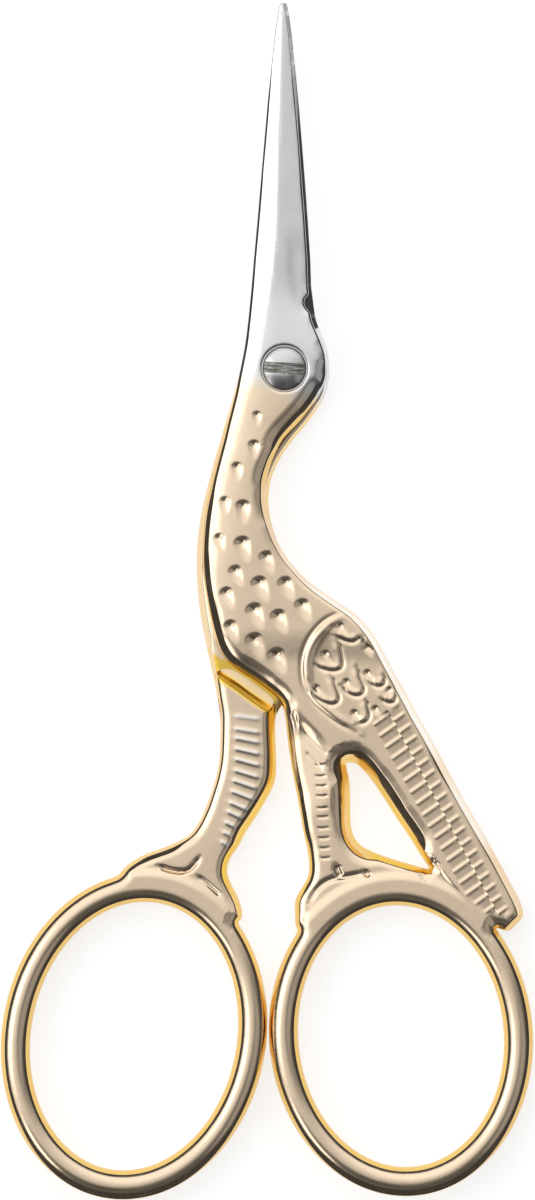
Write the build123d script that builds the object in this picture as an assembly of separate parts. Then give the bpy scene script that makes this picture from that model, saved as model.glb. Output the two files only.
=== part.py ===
from build123d import *
import math
import os
from dataclasses import dataclass

# Stork embroidery scissors: two forged halves that cross at one slotted pivot screw.
# The part lies on its back. +Z is up, towards the head of the screw, +Y runs from the
# pivot to the blade tips, and the origin is on the pivot axis at the resting plane.

# Overall lengths along the scissors, measured down from the pivot unless it says otherwise
blade_length = 27.6        # pivot to blade tips, upwards
neck_length = 25.0         # pivot to the fork of the legs
leg_length = 12.4          # fork to the foot line, where the legs meet the finger bows
bow_drop = 12.9            # foot line to the middle of the finger bows
rear_bow_length = 24.84    # finger bows, outside
front_bow_length = 24.2
bow_width = 19.92          # finger bows, outside, across
rear_bow_tilt = -11.0      # degrees; each bow's top leans towards the other
front_bow_tilt = 5.3
bow_middle_x = -1.24       # where the two bows meet

# Widths that the outlines follow
blade_width = 4.3          # one blade at its root
body_width = 18.2          # breast to the outer edge of the tail, where the body ends
leg_width = 4.3            # rear leg between the breast and its foot
rear_leg_head_x = -2.75    # middle of the rear leg at its head and at its foot
rear_leg_foot_x = -5.07
front_leg_head_x = 0.1     # left edge of the front leg at its head and at its foot
front_leg_foot_x = 1.5
tail_drop = 12.8           # where the body ends to the tip of the tail, down
tail_reach = 6.13          # and across
tail_root_x = 4.74         # left edge of the tail at its root

# Thickness
half_thickness = 1.6       # one half at the neck
tail_thickness = 3.16      # the tail, set back a little from the body's two faces
leg_thickness = 3.08       # the legs and their feet, set back a little more
mating_gap = 0.04          # between the inner faces of the two halves
tip_thickness = 0.36       # one blade at its tip
edge_land = 0.18           # what is left of the blade at its cutting edge

# Finger bows
bow_bar_width = 2.22
bow_edge_radius = 0.9
bow_clearance = 0.08       # between the two bows when closed

# Pivot screw
screw_head_diameter = 3.3
screw_head_sink = 0.5      # how deep the head sits in its seat
screw_head_rise = 0.42     # crown of the head above the neck
screw_rim_height = 0.16    # straight rim of the head above its seat's edge
slot_width = 0.8
slot_depth = 0.5
slot_turn = -7.0           # degrees
journal_diameter = 2.3
thread_diameter = 1.8
journal_clearance = 0.04   # radial, between the journal and the front half
seat_clearance = 0.1       # radial, round the head
head_float = 0.03          # under the head
screw_end_chamfer = 0.15

# Clearances between the halves below the neck
body_clearance = 0.2       # rear neck to the thick body beside it
blade_reveal = 0.22        # how far each blade's back shows past the other blade's edge

# Shoulders: the rounded shoulder and the leaning wall beside each flat top
neck_wall = 0.62           # height of the wall under the shoulder
neck_setback = 0.1         # how far the wall leans in towards the shoulder
tail_setback = 0.3
tail_bevel_inner = 0.75
tail_bevel_outer = 0.4
leg_wall = 0.55
leg_setback = 0.3
leg_inner_setback = 0.6    # the rear leg's wall towards the other leg
leg_bevel = 0.55
riser_bevel = 0.3          # the step of the rear leg, under the breast
riser_setback = 0.8        # how far the step's slope runs back from the breast

# Share of the way from a straight bevel to a square corner that a shoulder bulges
round_shoulder_share = 0.41
blade_face_share = 0.06
# Where the ridge of a blade runs across its width, from its back
ridge_share = 0.41
flat_least = 0.12          # narrowest flat along a ridge or a top

# Blade outline: share of blade_length up, then back and edge as shares of blade_width
blade_outline_shares = [
    (0.225, -0.581, 0.416),
    (0.300, -0.541, 0.401),
    (0.400, -0.482, 0.360),
    (0.510, -0.421, 0.309),
    (0.620, -0.360, 0.253),
    (0.730, -0.298, 0.193),
    (0.840, -0.221, 0.124),
    (0.920, -0.164, 0.068),
    (0.975, -0.112, 0.020),
    (1.000, -0.070, -0.012),
]
# Neck of the front half: share of neck_length down, then left edge, right edge,
# left shoulder and right shoulder as shares of body_width
front_neck_shares = [
    (-0.146, -0.151, 0.111, 0.075, 0.022),
    (-0.056, -0.170, 0.167, 0.068, 0.022),
    (0.020, -0.191, 0.180, 0.063, 0.030),
    (0.084, -0.211, 0.148, 0.058, 0.044),
    (0.155, -0.236, 0.075, 0.055, 0.055),
    (0.215, -0.257, -0.002, 0.053, 0.052),
    (0.276, -0.279, -0.048, 0.049, 0.047),
    (0.336, -0.300, -0.076, 0.045, 0.040),
    (0.396, -0.318, -0.079, 0.044, 0.034),
    (0.456, -0.331, -0.064, 0.046, 0.028),
    (0.516, -0.338, -0.035, 0.050, 0.024),
    (0.576, -0.341, 0.013, 0.053, 0.022),
    (0.636, -0.335, 0.087, 0.056, 0.022),
    (0.696, -0.322, 0.205, 0.058, 0.022),
]
# Body of the front half, from the shoulder of the wing to the fork: the same columns
front_body_shares = [
    (0.696, -0.322, 0.205, 0.058, 0.022),
    (0.732, -0.314, 0.280, 0.060, 0.022),
    (0.768, -0.303, 0.334, 0.062, 0.022),
    (0.816, -0.286, 0.383, 0.064, 0.022),
    (0.850, -0.270, 0.406, 0.064, 0.022),
    (0.880, -0.244, 0.427, 0.064, 0.022),
    (0.908, -0.197, 0.448, 0.064, 0.022),
    (0.940, -0.124, 0.473, 0.060, 0.022),
    (0.972, -0.064, 0.497, 0.052, 0.022),
    (1.000, -0.017, 0.519, 0.040, 0.022),
    (1.040, 0.001, 0.547, 0.034, 0.022),
    (1.110, 0.013, 0.603, 0.033, 0.022),
    (1.184, 0.029, 0.658, 0.033, 0.022),
]
# Neck of the rear half: the same columns
rear_neck_shares = [
    (-0.146, -0.148, 0.129, 0.070, 0.030),
    (-0.056, -0.168, 0.181, 0.066, 0.030),
    (0.020, -0.190, 0.188, 0.062, 0.036),
    (0.084, -0.212, 0.170, 0.058, 0.046),
    (0.155, -0.241, 0.104, 0.055, 0.052),
    (0.215, -0.266, 0.033, 0.053, 0.050),
    (0.276, -0.291, -0.025, 0.050, 0.046),
    (0.336, -0.313, -0.060, 0.047, 0.042),
    (0.396, -0.334, -0.069, 0.047, 0.038),
    (0.456, -0.350, -0.060, 0.050, 0.036),
    (0.516, -0.361, -0.033, 0.053, 0.036),
    (0.576, -0.365, 0.000, 0.055, 0.036),
    (0.636, -0.363, 0.025, 0.056, 0.036),
    (0.696, -0.357, 0.041, 0.056, 0.036),
    (0.756, -0.346, 0.048, 0.056, 0.036),
    (0.816, -0.330, 0.048, 0.054, 0.036),
    (0.876, -0.310, 0.044, 0.050, 0.036),
    (0.940, -0.291, 0.030, 0.046, 0.034),
    (0.984, -0.279, 0.014, 0.042, 0.032),
    (1.016, -0.273, -0.011, 0.038, 0.030),
    (1.044, -0.269, -0.038, 0.036, 0.030),
]
# Step of the rear leg, above the leg itself: share of neck_length down, then left and
# right edges as shares of body_width
riser_shares = [
    (0.902, -0.2895, -0.217),
    (0.920, -0.288, -0.179),
    (0.940, -0.286, -0.135),
    (0.972, -0.279, -0.076),
    (1.000, -0.275, -0.031),
]
# Rear leg: share of leg_length below the fork, then middle (share of the way from the
# leg's head to its foot) and width as a share of leg_width
rear_leg_shares = [
    (0.080, 0.000, 0.958),
    (0.140, 0.000, 0.970),
    (0.240, -0.003, 0.981),
    (0.360, 0.000, 1.014),
    (0.450, 0.040, 1.058),
    (0.515, 0.125, 1.077),
    (0.605, 0.338, 1.023),
    (0.725, 0.665, 0.953),
    (0.815, 0.990, 0.935),
]
# Foot of the rear leg: share of its bow's length down from the foot line, then left and
# right edges as shares of bow_width from the middle of the bow
rear_foot_shares = [
    (-0.060, 0.138, 0.402),
    (-0.032, 0.035, 0.372),
    (-0.008, -0.015, 0.357),
    (0.015, -0.052, 0.350),
    (0.038, -0.045, 0.355),
    (0.060, -0.020, 0.370),
    (0.083, 0.150, 0.386),
    (0.110, 0.255, 0.402),
    (0.138, 0.335, 0.411),
    (0.170, 0.390, 0.415),
]
# Front leg below the body: share of leg_length below the fork, then left edge as a share
# of the way from the leg's head to its foot, and width as a share of leg_width
front_leg_shares = [
    (0.160, 0.00, 1.046),
    (0.280, 0.13, 0.988),
    (0.370, 0.24, 0.946),
    (0.480, 0.42, 0.988),
    (0.600, 0.63, 0.926),
    (0.725, 0.82, 0.865),
    (0.815, 0.94, 0.856),
]
# Foot of the front leg: the same columns as the rear foot
front_foot_shares = [
    (-0.060, -0.358, -0.157),
    (-0.040, -0.354, -0.104),
    (-0.016, -0.350, -0.022),
    (0.008, -0.348, 0.083),
    (0.032, -0.348, 0.160),
    (0.055, -0.363, 0.200),
    (0.079, -0.384, 0.200),
    (0.103, -0.403, -0.207),
    (0.135, -0.405, -0.281),
    (0.163, -0.399, -0.330),
    (0.195, -0.408, -0.373),
]
# Tail: share of the way down from where the body ends to its tip, then left and right
# edges as shares of the way across from the body's end to the tip
tail_shares = [
    (-0.200, 0.00, -0.240),
    (-0.090, 0.02, -0.110),
    (0.000, 0.10, 0.000),
    (0.110, 0.30, 0.122),
    (0.225, 0.46, 0.256),
    (0.340, 0.61, 0.393),
    (0.450, 0.77, 0.525),
    (0.565, 0.91, 0.660),
    (0.680, 1.09, 0.790),
    (0.795, 1.29, 0.920),
    (0.870, 1.47, 0.990),
    (0.925, 1.65, 0.985),
    (0.965, 1.79, 0.880),
    (1.000, 1.92, 0.830),
]

# Ricasso: the small notch between each cutting edge and its neck
notch_radius = 0.6
notch_reach = 2.05         # notch centre from the middle of the blades
notch_rise = 4.95          # and above the pivot

# Lower part of the front half's body, beside the rear neck
tongue_height = 0.3        # how far it runs up into the upper part
parting_step = 0.05        # how far it stays inside the upper part's outline
tongue_inset = 0.4

# Share of a blade's thickness that its back keeps as a wall
spine_wall_share = 0.45
cut_overrun = 1.0

# Places worked out from the sizes
total_thickness = half_thickness * 2 + mating_gap
front_base = half_thickness + mating_gap
foot_line = -(neck_length + leg_length)
bow_centre_y = foot_line - bow_drop
body_end_share = front_body_shares[-1][0]
body_end_y = -neck_length * body_end_share
body_end_x = body_width * front_body_shares[-1][2]


def bow_reach(length, tilt):
    """Half the width across X of a leaning oval bow."""
    turn = math.radians(tilt)
    return math.hypot(bow_width / 2 * math.cos(turn), length / 2 * math.sin(turn))


rear_bow_x = bow_middle_x - bow_clearance / 2 - bow_reach(rear_bow_length, rear_bow_tilt)
front_bow_x = bow_middle_x + bow_clearance / 2 + bow_reach(front_bow_length, front_bow_tilt)


@dataclass
class Slice:
    """One level slice across the part, seen along Y.

    left and right are the edges at the widest height. Each side has a wall that leans in
    by its setback, and above the wall a shoulder that ends at the flat top.
    """

    y: float
    left: float
    right: float
    left_shoulder: float
    right_shoulder: float
    left_wall: float
    right_wall: float
    left_setback: float
    right_setback: float
    thickness: float
    bulge: float


def between(low, high, share):
    """Return the value at a share of the way from low to high."""
    return low + (high - low) * share


def side_points(edge, inward, wall, setback, shoulder, thickness, bulge):
    """Points of one side from the flat base to the flat top, as (x, height).

    inward is 1 on a left side and -1 on a right side, or less where the slice is narrow.
    """
    wall_x = edge + inward * setback
    top_x = wall_x + inward * shoulder
    middle_x = between(wall_x, top_x, 1 / 2)
    middle_z = between(wall, thickness, 1 / 2)
    bulge_point = (between(middle_x, wall_x, bulge), between(middle_z, thickness, bulge))
    return [(edge, 0), (wall_x, wall), bulge_point, (top_x, thickness)]


def half_outline(cut):
    """Closed outline of a slice that lies on one side of its flat base."""
    left_in = cut.left_setback + cut.left_shoulder
    right_in = cut.right_setback + cut.right_shoulder
    spare = cut.right - cut.left - flat_least
    scale = min(1, spare / (left_in + right_in))
    left = side_points(cut.left, scale, cut.left_wall, cut.left_setback,
                       cut.left_shoulder, cut.thickness, cut.bulge)
    right = side_points(cut.right, -scale, cut.right_wall, cut.right_setback,
                        cut.right_shoulder, cut.thickness, cut.bulge)
    return left + right[::-1]


def wire_at(y, outline, base, direction):
    """Wire of an outline stood on a base height, upwards or downwards."""
    points = [Vector(x, y, base + direction * height) for x, height in outline]
    return Wire.make_polygon(points, close=True)


def half_loft(cuts, base, direction):
    """Solid through slices that lie on one side of a flat base."""
    wires = [wire_at(cut.y, half_outline(cut), base, direction) for cut in cuts]
    return Solid.make_loft(wires, ruled=True)


def full_loft(cuts):
    """Solid through slices that are alike above and below the middle height."""
    wires = []
    for cut in cuts:
        upper = half_outline(cut)
        lower = [(x, -height) for x, height in upper[1:-1]][::-1]
        wires.append(wire_at(cut.y, upper + lower, total_thickness / 2, 1))
    return Solid.make_loft(wires, ruled=True)


def neck_slice(row):
    """Slice of a neck or a body from its row of shares."""
    down, left, right, left_shoulder, right_shoulder = row
    return Slice(-neck_length * down, body_width * left, body_width * right,
                 body_width * left_shoulder, body_width * right_shoulder,
                 neck_wall, neck_wall, neck_setback, neck_setback,
                 half_thickness, round_shoulder_share)


def blade_slice(row, spine_on_left, shift):
    """Slice of a blade from its row of shares, with its back on the left or the right."""
    up, back, edge = row
    left = blade_width * back + shift
    right = blade_width * edge + shift
    width = right - left
    thickness = between(half_thickness, tip_thickness, up)
    spine_wall = thickness * spine_wall_share
    land = min(edge_land, thickness / 2)
    to_ridge = width * ridge_share
    if spine_on_left:
        return Slice(blade_length * up, left, right, to_ridge, width - to_ridge,
                     spine_wall, land, 0, 0, thickness, blade_face_share)
    return Slice(blade_length * up, left, right, width - to_ridge, to_ridge,
                 land, spine_wall, 0, 0, thickness, blade_face_share)


def full_slice(y, left, right, left_bevel, right_bevel, left_setback, right_setback,
               thickness):
    """Slice that reaches both outer faces, given as its upper half."""
    return Slice(y, left, right, left_bevel, right_bevel, leg_wall, leg_wall,
                 left_setback, right_setback, thickness / 2, round_shoulder_share)


def edge_at(rows, column, y):
    """Edge of a neck at a height, on the straight line between two of its rows."""
    down = -y / neck_length
    for upper, lower in zip(rows, rows[1:]):
        if upper[0] <= down <= lower[0]:
            share = (down - upper[0]) / (lower[0] - upper[0])
            return body_width * between(upper[column], lower[column], share)
    return body_width * rows[-1][column]


def foot_slices(rows, bow_x, bow_length, left_setback, right_setback):
    """Slices of the foot that spreads from a leg onto its finger bow."""
    cuts = []
    for down, left, right in rows:
        cuts.append(full_slice(foot_line - bow_length * down, bow_x + bow_width * left,
                               bow_x + bow_width * right, leg_bevel, leg_bevel,
                               left_setback, right_setback, leg_thickness))
    return cuts


def finger_bow(centre_x, bow_length, tilt):
    """Oval finger bow with rounded edges."""
    outer = Ellipse(bow_width / 2, bow_length / 2)
    inner = Ellipse(bow_width / 2 - bow_bar_width, bow_length / 2 - bow_bar_width)
    ring = extrude(outer - inner, total_thickness)
    ring = fillet(ring.edges(), bow_edge_radius)
    return Pos(centre_x, bow_centre_y, 0) * Rot(0, 0, tilt) * ring


def front_upper():
    """Blade, neck and body of the front half, above the mating plane."""
    cuts = [neck_slice(row) for row in reversed(front_neck_shares[:-1] + front_body_shares)]
    cuts += [blade_slice(row, True, 0) for row in blade_outline_shares]
    return half_loft(cuts, front_base, 1)


def front_lower():
    """Lower part of the front half's body, beside the rear neck."""
    wires = []
    for row in front_body_shares:
        y = -neck_length * row[0]
        clear = edge_at(rear_neck_shares, 2, y) + body_clearance
        left = max(clear, body_width * row[1] + parting_step)
        right = body_width * row[2] - parting_step
        outline = [(left + tail_setback, 0), (left, leg_wall), (left, front_base),
                   (left + tongue_inset, front_base + tongue_height),
                   (right - tongue_inset, front_base + tongue_height),
                   (right, front_base), (right, leg_wall), (right - tail_setback, 0)]
        wires.append(wire_at(y, outline, 0, 1))
    return Solid.make_loft(wires, ruled=True)


def tail():
    """Tail, from inside the body to its square tip."""
    cuts = []
    for down, left, right in tail_shares:
        cuts.append(full_slice(body_end_y - tail_drop * down, tail_root_x + tail_reach * left,
                               body_end_x + tail_reach * right,
                               tail_bevel_inner, tail_bevel_outer,
                               tail_setback, tail_setback, tail_thickness))
    return full_loft(cuts)


def front_leg():
    """Front leg and the foot that joins it to its finger bow."""
    cuts = []
    for down, across, width in front_leg_shares:
        left = between(front_leg_head_x, front_leg_foot_x, across)
        cuts.append(full_slice(-neck_length - leg_length * down, left, left + leg_width * width,
                               leg_bevel, leg_bevel, leg_setback, leg_setback, leg_thickness))
    cuts += foot_slices(front_foot_shares, front_bow_x, front_bow_length, leg_setback, leg_setback)
    return full_loft(cuts)


def rear_leg():
    """Step under the breast, rear leg, and the foot that joins it to its finger bow."""
    cuts = []
    for down, left, right in riser_shares:
        cuts.append(full_slice(-neck_length * down, body_width * left, body_width * right,
                               riser_bevel, riser_bevel, 0, riser_setback, leg_thickness))
    for down, across, width in rear_leg_shares:
        middle = between(rear_leg_head_x, rear_leg_foot_x, across)
        cuts.append(full_slice(-neck_length - leg_length * down,
                               middle - leg_width * width / 2, middle + leg_width * width / 2,
                               leg_bevel, leg_bevel, leg_setback, leg_inner_setback,
                               leg_thickness))
    cuts += foot_slices(rear_foot_shares, rear_bow_x, rear_bow_length, leg_setback, leg_setback)
    return full_loft(cuts)


def rear_lower():
    """Blade and neck of the rear half, below the mating plane."""
    cuts = [neck_slice(row) for row in reversed(rear_neck_shares)]
    cuts += [blade_slice(row, False, blade_reveal) for row in blade_outline_shares]
    return half_loft(cuts, half_thickness, -1)


def upright(radius, low, high, x=0, y=0):
    """Cylinder along the pivot axis between two heights."""
    height = high - low
    return Pos(x, y, low + height / 2) * Cylinder(radius, height)


def make_front_half():
    """Front half: blade, neck, body, tail, leg and finger bow in one forging."""
    body = front_upper() + front_lower() + tail() + front_leg()
    body += finger_bow(front_bow_x, front_bow_length, front_bow_tilt)
    top = total_thickness + cut_overrun
    body -= upright(journal_diameter / 2 + journal_clearance, -cut_overrun, top)
    seat = total_thickness - screw_head_sink
    body -= upright(screw_head_diameter / 2 + seat_clearance, seat, top)
    body -= upright(notch_radius, -cut_overrun, top, notch_reach, notch_rise)
    return body


def make_rear_half():
    """Rear half: blade, neck, step, leg and finger bow in one forging."""
    body = rear_lower() + rear_leg()
    body += finger_bow(rear_bow_x, rear_bow_length, rear_bow_tilt)
    top = total_thickness + cut_overrun
    body -= upright(thread_diameter / 2, -cut_overrun, top)
    body -= upright(notch_radius, -cut_overrun, top, -notch_reach, notch_rise)
    return body


def make_pivot_screw():
    """Slotted screw with a domed head, a smooth journal and a threaded end."""
    head_low = total_thickness - screw_head_sink + head_float
    rim_top = total_thickness + screw_rim_height
    crown = total_thickness + screw_head_rise
    radius = screw_head_diameter / 2
    dome_rise = crown - rim_top
    dome_radius = (radius ** 2 + dome_rise ** 2) / (2 * dome_rise)
    head = upright(radius, head_low, crown)
    head &= Pos(0, 0, crown - dome_radius) * Sphere(dome_radius)
    slot = Pos(0, 0, crown) * Rot(0, 0, slot_turn) * Box(
        screw_head_diameter + cut_overrun, slot_width, slot_depth * 2)
    head -= slot
    screw = head + upright(journal_diameter / 2, half_thickness, head_low)
    end = upright(thread_diameter / 2, 0, half_thickness)
    end = chamfer(end.edges().sort_by(Axis.Z)[0], screw_end_chamfer)
    return screw + end


def save(shape, name):
    """Write one piece as a STEP file."""
    solids = shape.solids()
    print(name, "solids", len(solids), "volume", round(shape.volume, 2))
    export_step(shape, os.path.join("parts", name + ".step"))


def main():
    """Build and write every piece."""
    os.makedirs("parts", exist_ok=True)
    save(make_front_half(), "front_half")
    save(make_rear_half(), "rear_half")
    save(make_pivot_screw(), "pivot_screw")


main()
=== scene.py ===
"""Stork embroidery scissors, dressed for the photograph.

Two forged halves turn on a slotted screw. Each half is a plated forging with its carving:
dimples on the neck, a feathered wing, a tiled tail and ridged legs. The blades are bare.
"""
import logging
import math
from dataclasses import dataclass, field
from enum import Enum
from typing import Callable, Iterator, Optional, Sequence, Union

import bpy
import numpy as np
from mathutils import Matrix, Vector
from mathutils.geometry import delaunay_2d_cdt


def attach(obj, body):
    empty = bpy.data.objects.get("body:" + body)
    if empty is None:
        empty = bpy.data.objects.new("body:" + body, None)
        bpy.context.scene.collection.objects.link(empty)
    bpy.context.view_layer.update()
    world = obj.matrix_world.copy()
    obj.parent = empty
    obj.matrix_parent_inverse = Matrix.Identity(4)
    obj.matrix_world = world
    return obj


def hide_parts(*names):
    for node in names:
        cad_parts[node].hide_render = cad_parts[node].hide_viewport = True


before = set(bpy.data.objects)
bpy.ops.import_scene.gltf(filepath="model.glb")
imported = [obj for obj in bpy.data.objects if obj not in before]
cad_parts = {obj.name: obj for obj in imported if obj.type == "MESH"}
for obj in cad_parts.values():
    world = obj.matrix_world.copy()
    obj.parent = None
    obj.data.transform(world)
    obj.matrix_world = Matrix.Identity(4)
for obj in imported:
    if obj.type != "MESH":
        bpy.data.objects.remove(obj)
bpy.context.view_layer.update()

LOG = logging.getLogger("stork_scissors")

MM = 0.001
PHOTO_WIDTH_PX = 535
PHOTO_HEIGHT_PX = 1200
MM_PER_PX = 0.0753
PIVOT_PX = (284.5, 368.5)

# Sizes shared with the solids, in millimetres
HALF_THICKNESS = 1.6
MATING_GAP = 0.04
FRONT_BASE = HALF_THICKNESS + MATING_GAP
TOTAL_THICKNESS = 2 * HALF_THICKNESS + MATING_GAP
BLADE_LENGTH = 27.6
TIP_THICKNESS = 0.36
JOURNAL_RADIUS = 1.15
BORE_RADIUS = 1.19
SEAT_RADIUS = 1.75
SEAT_DEPTH = 0.5
THREAD_RADIUS = 0.9
HEAD_RADIUS = 1.65
HEAD_LOW = TOTAL_THICKNESS - SEAT_DEPTH + 0.03
HEAD_RIM_TOP = TOTAL_THICKNESS + 0.04
HEAD_CROWN = TOTAL_THICKNESS + 0.405

# How the solids are cut for their outlines, in millimetres
CUT_INSET = 0.02
CUT_TOLERANCE = 0.0001
SOLID_WELD = 0.001
CUT_WELD = 0.002

# Fewest points that count as a line, and fewest that one is spread into
FEWEST_POINTS = 8
FEWEST_PLACES = 12

# More than any distance across an edge, and the height of a band of places, in millimetres
FAR = 9.0
BAND = 1.0

# How softly values given at single places run into each other
BLEND_SOFTNESS = 0.02

# Where an outline stays crisp: along the blade, and round the end of the tail
CRISP_BLADE = 0.93
BLADE_FOOT = (2.0, 6.0)
CRISP_TAIL = 0.8
TAIL_END = (17.2, -41.8)
TAIL_END_REACH = 1.3

Points = np.ndarray
WHITE = (1.0, 1.0, 1.0, 1.0)


def at(px: float, py: float) -> tuple[float, float]:
    """Place in millimetres of a pixel of the photograph.

    Args:
        px: Pixels from the left.
        py: Pixels from the top.

    Returns:
        X and Y in the part's frame.
    """
    return (px - PIVOT_PX[0]) * MM_PER_PX, (PIVOT_PX[1] - py) * MM_PER_PX


def ease(low: float, high: float, value: Points) -> Points:
    """Smooth step from 0 at low to 1 at high."""
    share = np.clip((value - low) / (high - low), 0.0, 1.0)
    return share * share * (3.0 - 2.0 * share)


def mix(start: Points, end: Points, share: Points) -> Points:
    """Value at a share of the way from start to end."""
    return start + (end - start) * share


class Half(Enum):
    """The two forgings, each named as the body that it rides on."""

    FRONT = "front"
    REAR = "rear"

    @property
    def node(self) -> str:
        """Name of the half's solid."""
        return f"{self.value}_half"


class Side(Enum):
    """Which way the carved face of a forging looks."""

    UP = 1
    DOWN = -1


@dataclass(frozen=True)
class Station:
    """Shape of a forging's edge at one place along its outline, in millimetres.

    From the parting line a steep wall leans in, a narrow facet breaks the corner, and a
    bevel that flattens from steep to gentle degrees runs up to the face.
    """

    x: float
    y: float
    wall: float
    facet: float
    bevel: float
    steep: float = 33.0
    gentle: float = 0.0
    # Painted light on the steep walls: deep-yellow reflection above 0, near-white highlight below
    # 0
    warmth: float = 0.5


FRONT_STATIONS = (
    Station(-0.7, 26.0, 0.012, 0.05, 0.02, 33.0, 24.0, 0.0),
    Station(-1.5, 18.0, 0.012, 0.16, 0.04, 33.0, 24.0, 0.0),
    Station(-2.1, 11.0, 0.012, 0.18, 0.05, 33.0, 24.0, 0.0),
    Station(-2.6, 5.0, 0.012, 0.19, 0.05, 33.0, 24.0, 0.0),
    Station(-3.3, 0.6, 0.06, 0.20, 0.05, 33.0, 24.0, 0.2),
    Station(-4.1, -3.0, 0.10, 0.20, 0.06, 33.0, 24.0, 0.8),
    Station(-5.2, -7.0, 0.12, 0.21, 0.08, 33.0, 24.0, 0.9),
    Station(-6.1, -12.0, 0.10, 0.34, 0.15, 33.0, 22.0, 0.7),
    Station(-6.1, -16.0, 0.10, 0.44, 0.25, 30.0, 20.0, 0.7),
    Station(-5.6, -19.5, 0.12, 0.54, 0.40, 30.0, 14.0, 0.6),
    Station(-4.4, -22.0, 0.12, 0.54, 0.58, 32.0, 14.0, 0.6),
    Station(-2.3, -23.5, 0.12, 0.48, 0.76, 33.0, 14.0, 0.5),
    Station(-0.9, -24.8, 0.15, 0.44, 0.70, 33.0, 14.0, 0.5),
    Station(0.2, -27.0, 0.14, 0.38, 0.40, 30.0, 14.0, 0.8),
    Station(0.6, -30.0, 0.14, 0.34, 0.40, 30.0, 12.0, 0.9),
    Station(1.4, -34.0, 0.15, 0.32, 0.40, 30.0, 10.0, 0.9),
    Station(1.6, -37.8, 0.22, 0.22, 0.45, 33.0, 8.0, 0.9),
    Station(0.6, -40.5, 0.32, 0.10, 0.50, 33.0, 4.0, 0.8),
    Station(0.15, 26.0, 0.01, 0.04, 0.01, 33.0, 12.0, 0.0),
    Station(0.9, 18.0, 0.012, 0.10, 0.02, 33.0, 12.0, 0.0),
    Station(1.7, 10.0, 0.012, 0.13, 0.03, 33.0, 12.0, 0.0),
    Station(2.05, 6.2, 0.012, 0.13, 0.05, 33.0, 12.0, 0.0),
    Station(1.9, 4.6, 0.012, 0.14, 0.05, 33.0, 12.0, 0.0),
    Station(2.6, 3.0, 0.03, 0.12, 0.25, 33.0, 6.0, 0.0),
    Station(3.1, 1.3, 0.05, 0.12, 0.55, 33.0, 4.0, 0.1),
    Station(3.3, -0.6, 0.10, 0.22, 0.75, 33.0, 4.0, 0.2),
    Station(2.7, -2.5, 0.24, 0.42, 0.85, 33.0, 4.0, 0.6),
    Station(0.9, -5.0, 0.38, 0.34, 0.85, 33.0, 4.0, 0.7),
    Station(-0.9, -7.6, 0.36, 0.14, 0.75, 30.0, 4.0, 0.6),
    Station(-1.2, -10.0, 0.34, 0.12, 0.60, 26.0, 3.0, 0.2),
    Station(-0.9, -12.6, 0.30, 0.09, 0.45, 24.0, 2.0, 0.0),
    Station(0.3, -14.8, 0.30, 0.06, 0.40, 33.0, 2.0, -0.4),
    Station(3.7, -17.4, 0.40, 0.06, 0.30, 33.0, 2.0, -0.9),
    Station(7.1, -20.4, 0.45, 0.06, 0.20, 33.0, 2.0, -1.0),
    Station(10.3, -26.5, 0.50, 0.06, 0.14, 33.0, 2.0, -1.0),
    Station(14.0, -33.3, 0.50, 0.06, 0.14, 33.0, 2.0, -0.8),
    Station(17.4, -39.8, 0.48, 0.08, 0.18, 33.0, 2.0, 0.0),
    Station(17.8, -42.2, 0.40, 0.10, 0.35, 33.0, 2.0, 0.5),
    Station(4.9, -31.5, 0.78, 0.12, 0.55, 26.0, 6.0, 1.0),
    Station(5.2, -35.4, 0.72, 0.12, 0.55, 26.0, 6.0, 1.0),
    Station(8.3, -37.0, 0.40, 0.08, 0.35, 33.0, 4.0, 1.0),
    Station(10.5, -37.3, 0.40, 0.10, 0.40, 33.0, 4.0, 1.0),
    Station(9.2, -35.0, 0.40, 0.60, 0.60, 22.0, 13.0, 1.0),
    Station(7.4, -32.3, 0.40, 0.60, 0.60, 22.0, 13.0, 1.0),
    Station(5.5, -29.7, 0.62, 0.40, 0.55, 22.0, 8.0, 1.0),
    Station(12.9, -41.0, 0.25, 0.20, 0.45, 33.0, 2.0, 0.5),
)
REAR_STATIONS = (
    Station(-5.0, -24.5, 0.16, 0.14, 0.45, 33.0, 8.0, 0.5),
    Station(-4.9, -27.0, 0.16, 0.14, 0.45, 33.0, 8.0, 0.4),
    Station(-5.3, -31.0, 0.16, 0.14, 0.45, 33.0, 8.0, 0.4),
    Station(-6.6, -34.5, 0.18, 0.14, 0.50, 33.0, 8.0, 0.4),
    Station(-9.8, -36.3, 0.22, 0.34, 0.35, 33.0, 4.0, 0.5),
    Station(-11.8, -37.4, 0.26, 0.28, 0.35, 33.0, 4.0, 0.5),
    Station(-3.3, -23.0, 0.05, 0.05, 0.05, 33.0, 8.0, 1.0),
    Station(-1.5, -24.2, 0.05, 0.05, 0.05, 33.0, 8.0, 1.0),
    Station(-0.65, -27.0, 0.52, 0.14, 0.30, 33.0, 6.0, 1.0),
    Station(-0.6, -31.0, 0.52, 0.18, 0.30, 33.0, 6.0, 1.0),
    Station(-2.5, -34.4, 0.50, 0.22, 0.30, 33.0, 6.0, 1.0),
    Station(-4.3, -37.6, 0.40, 0.12, 0.35, 33.0, 6.0, 1.0),
    Station(-3.2, -40.5, 0.40, 0.10, 0.45, 33.0, 4.0, 0.7),
)
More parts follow.
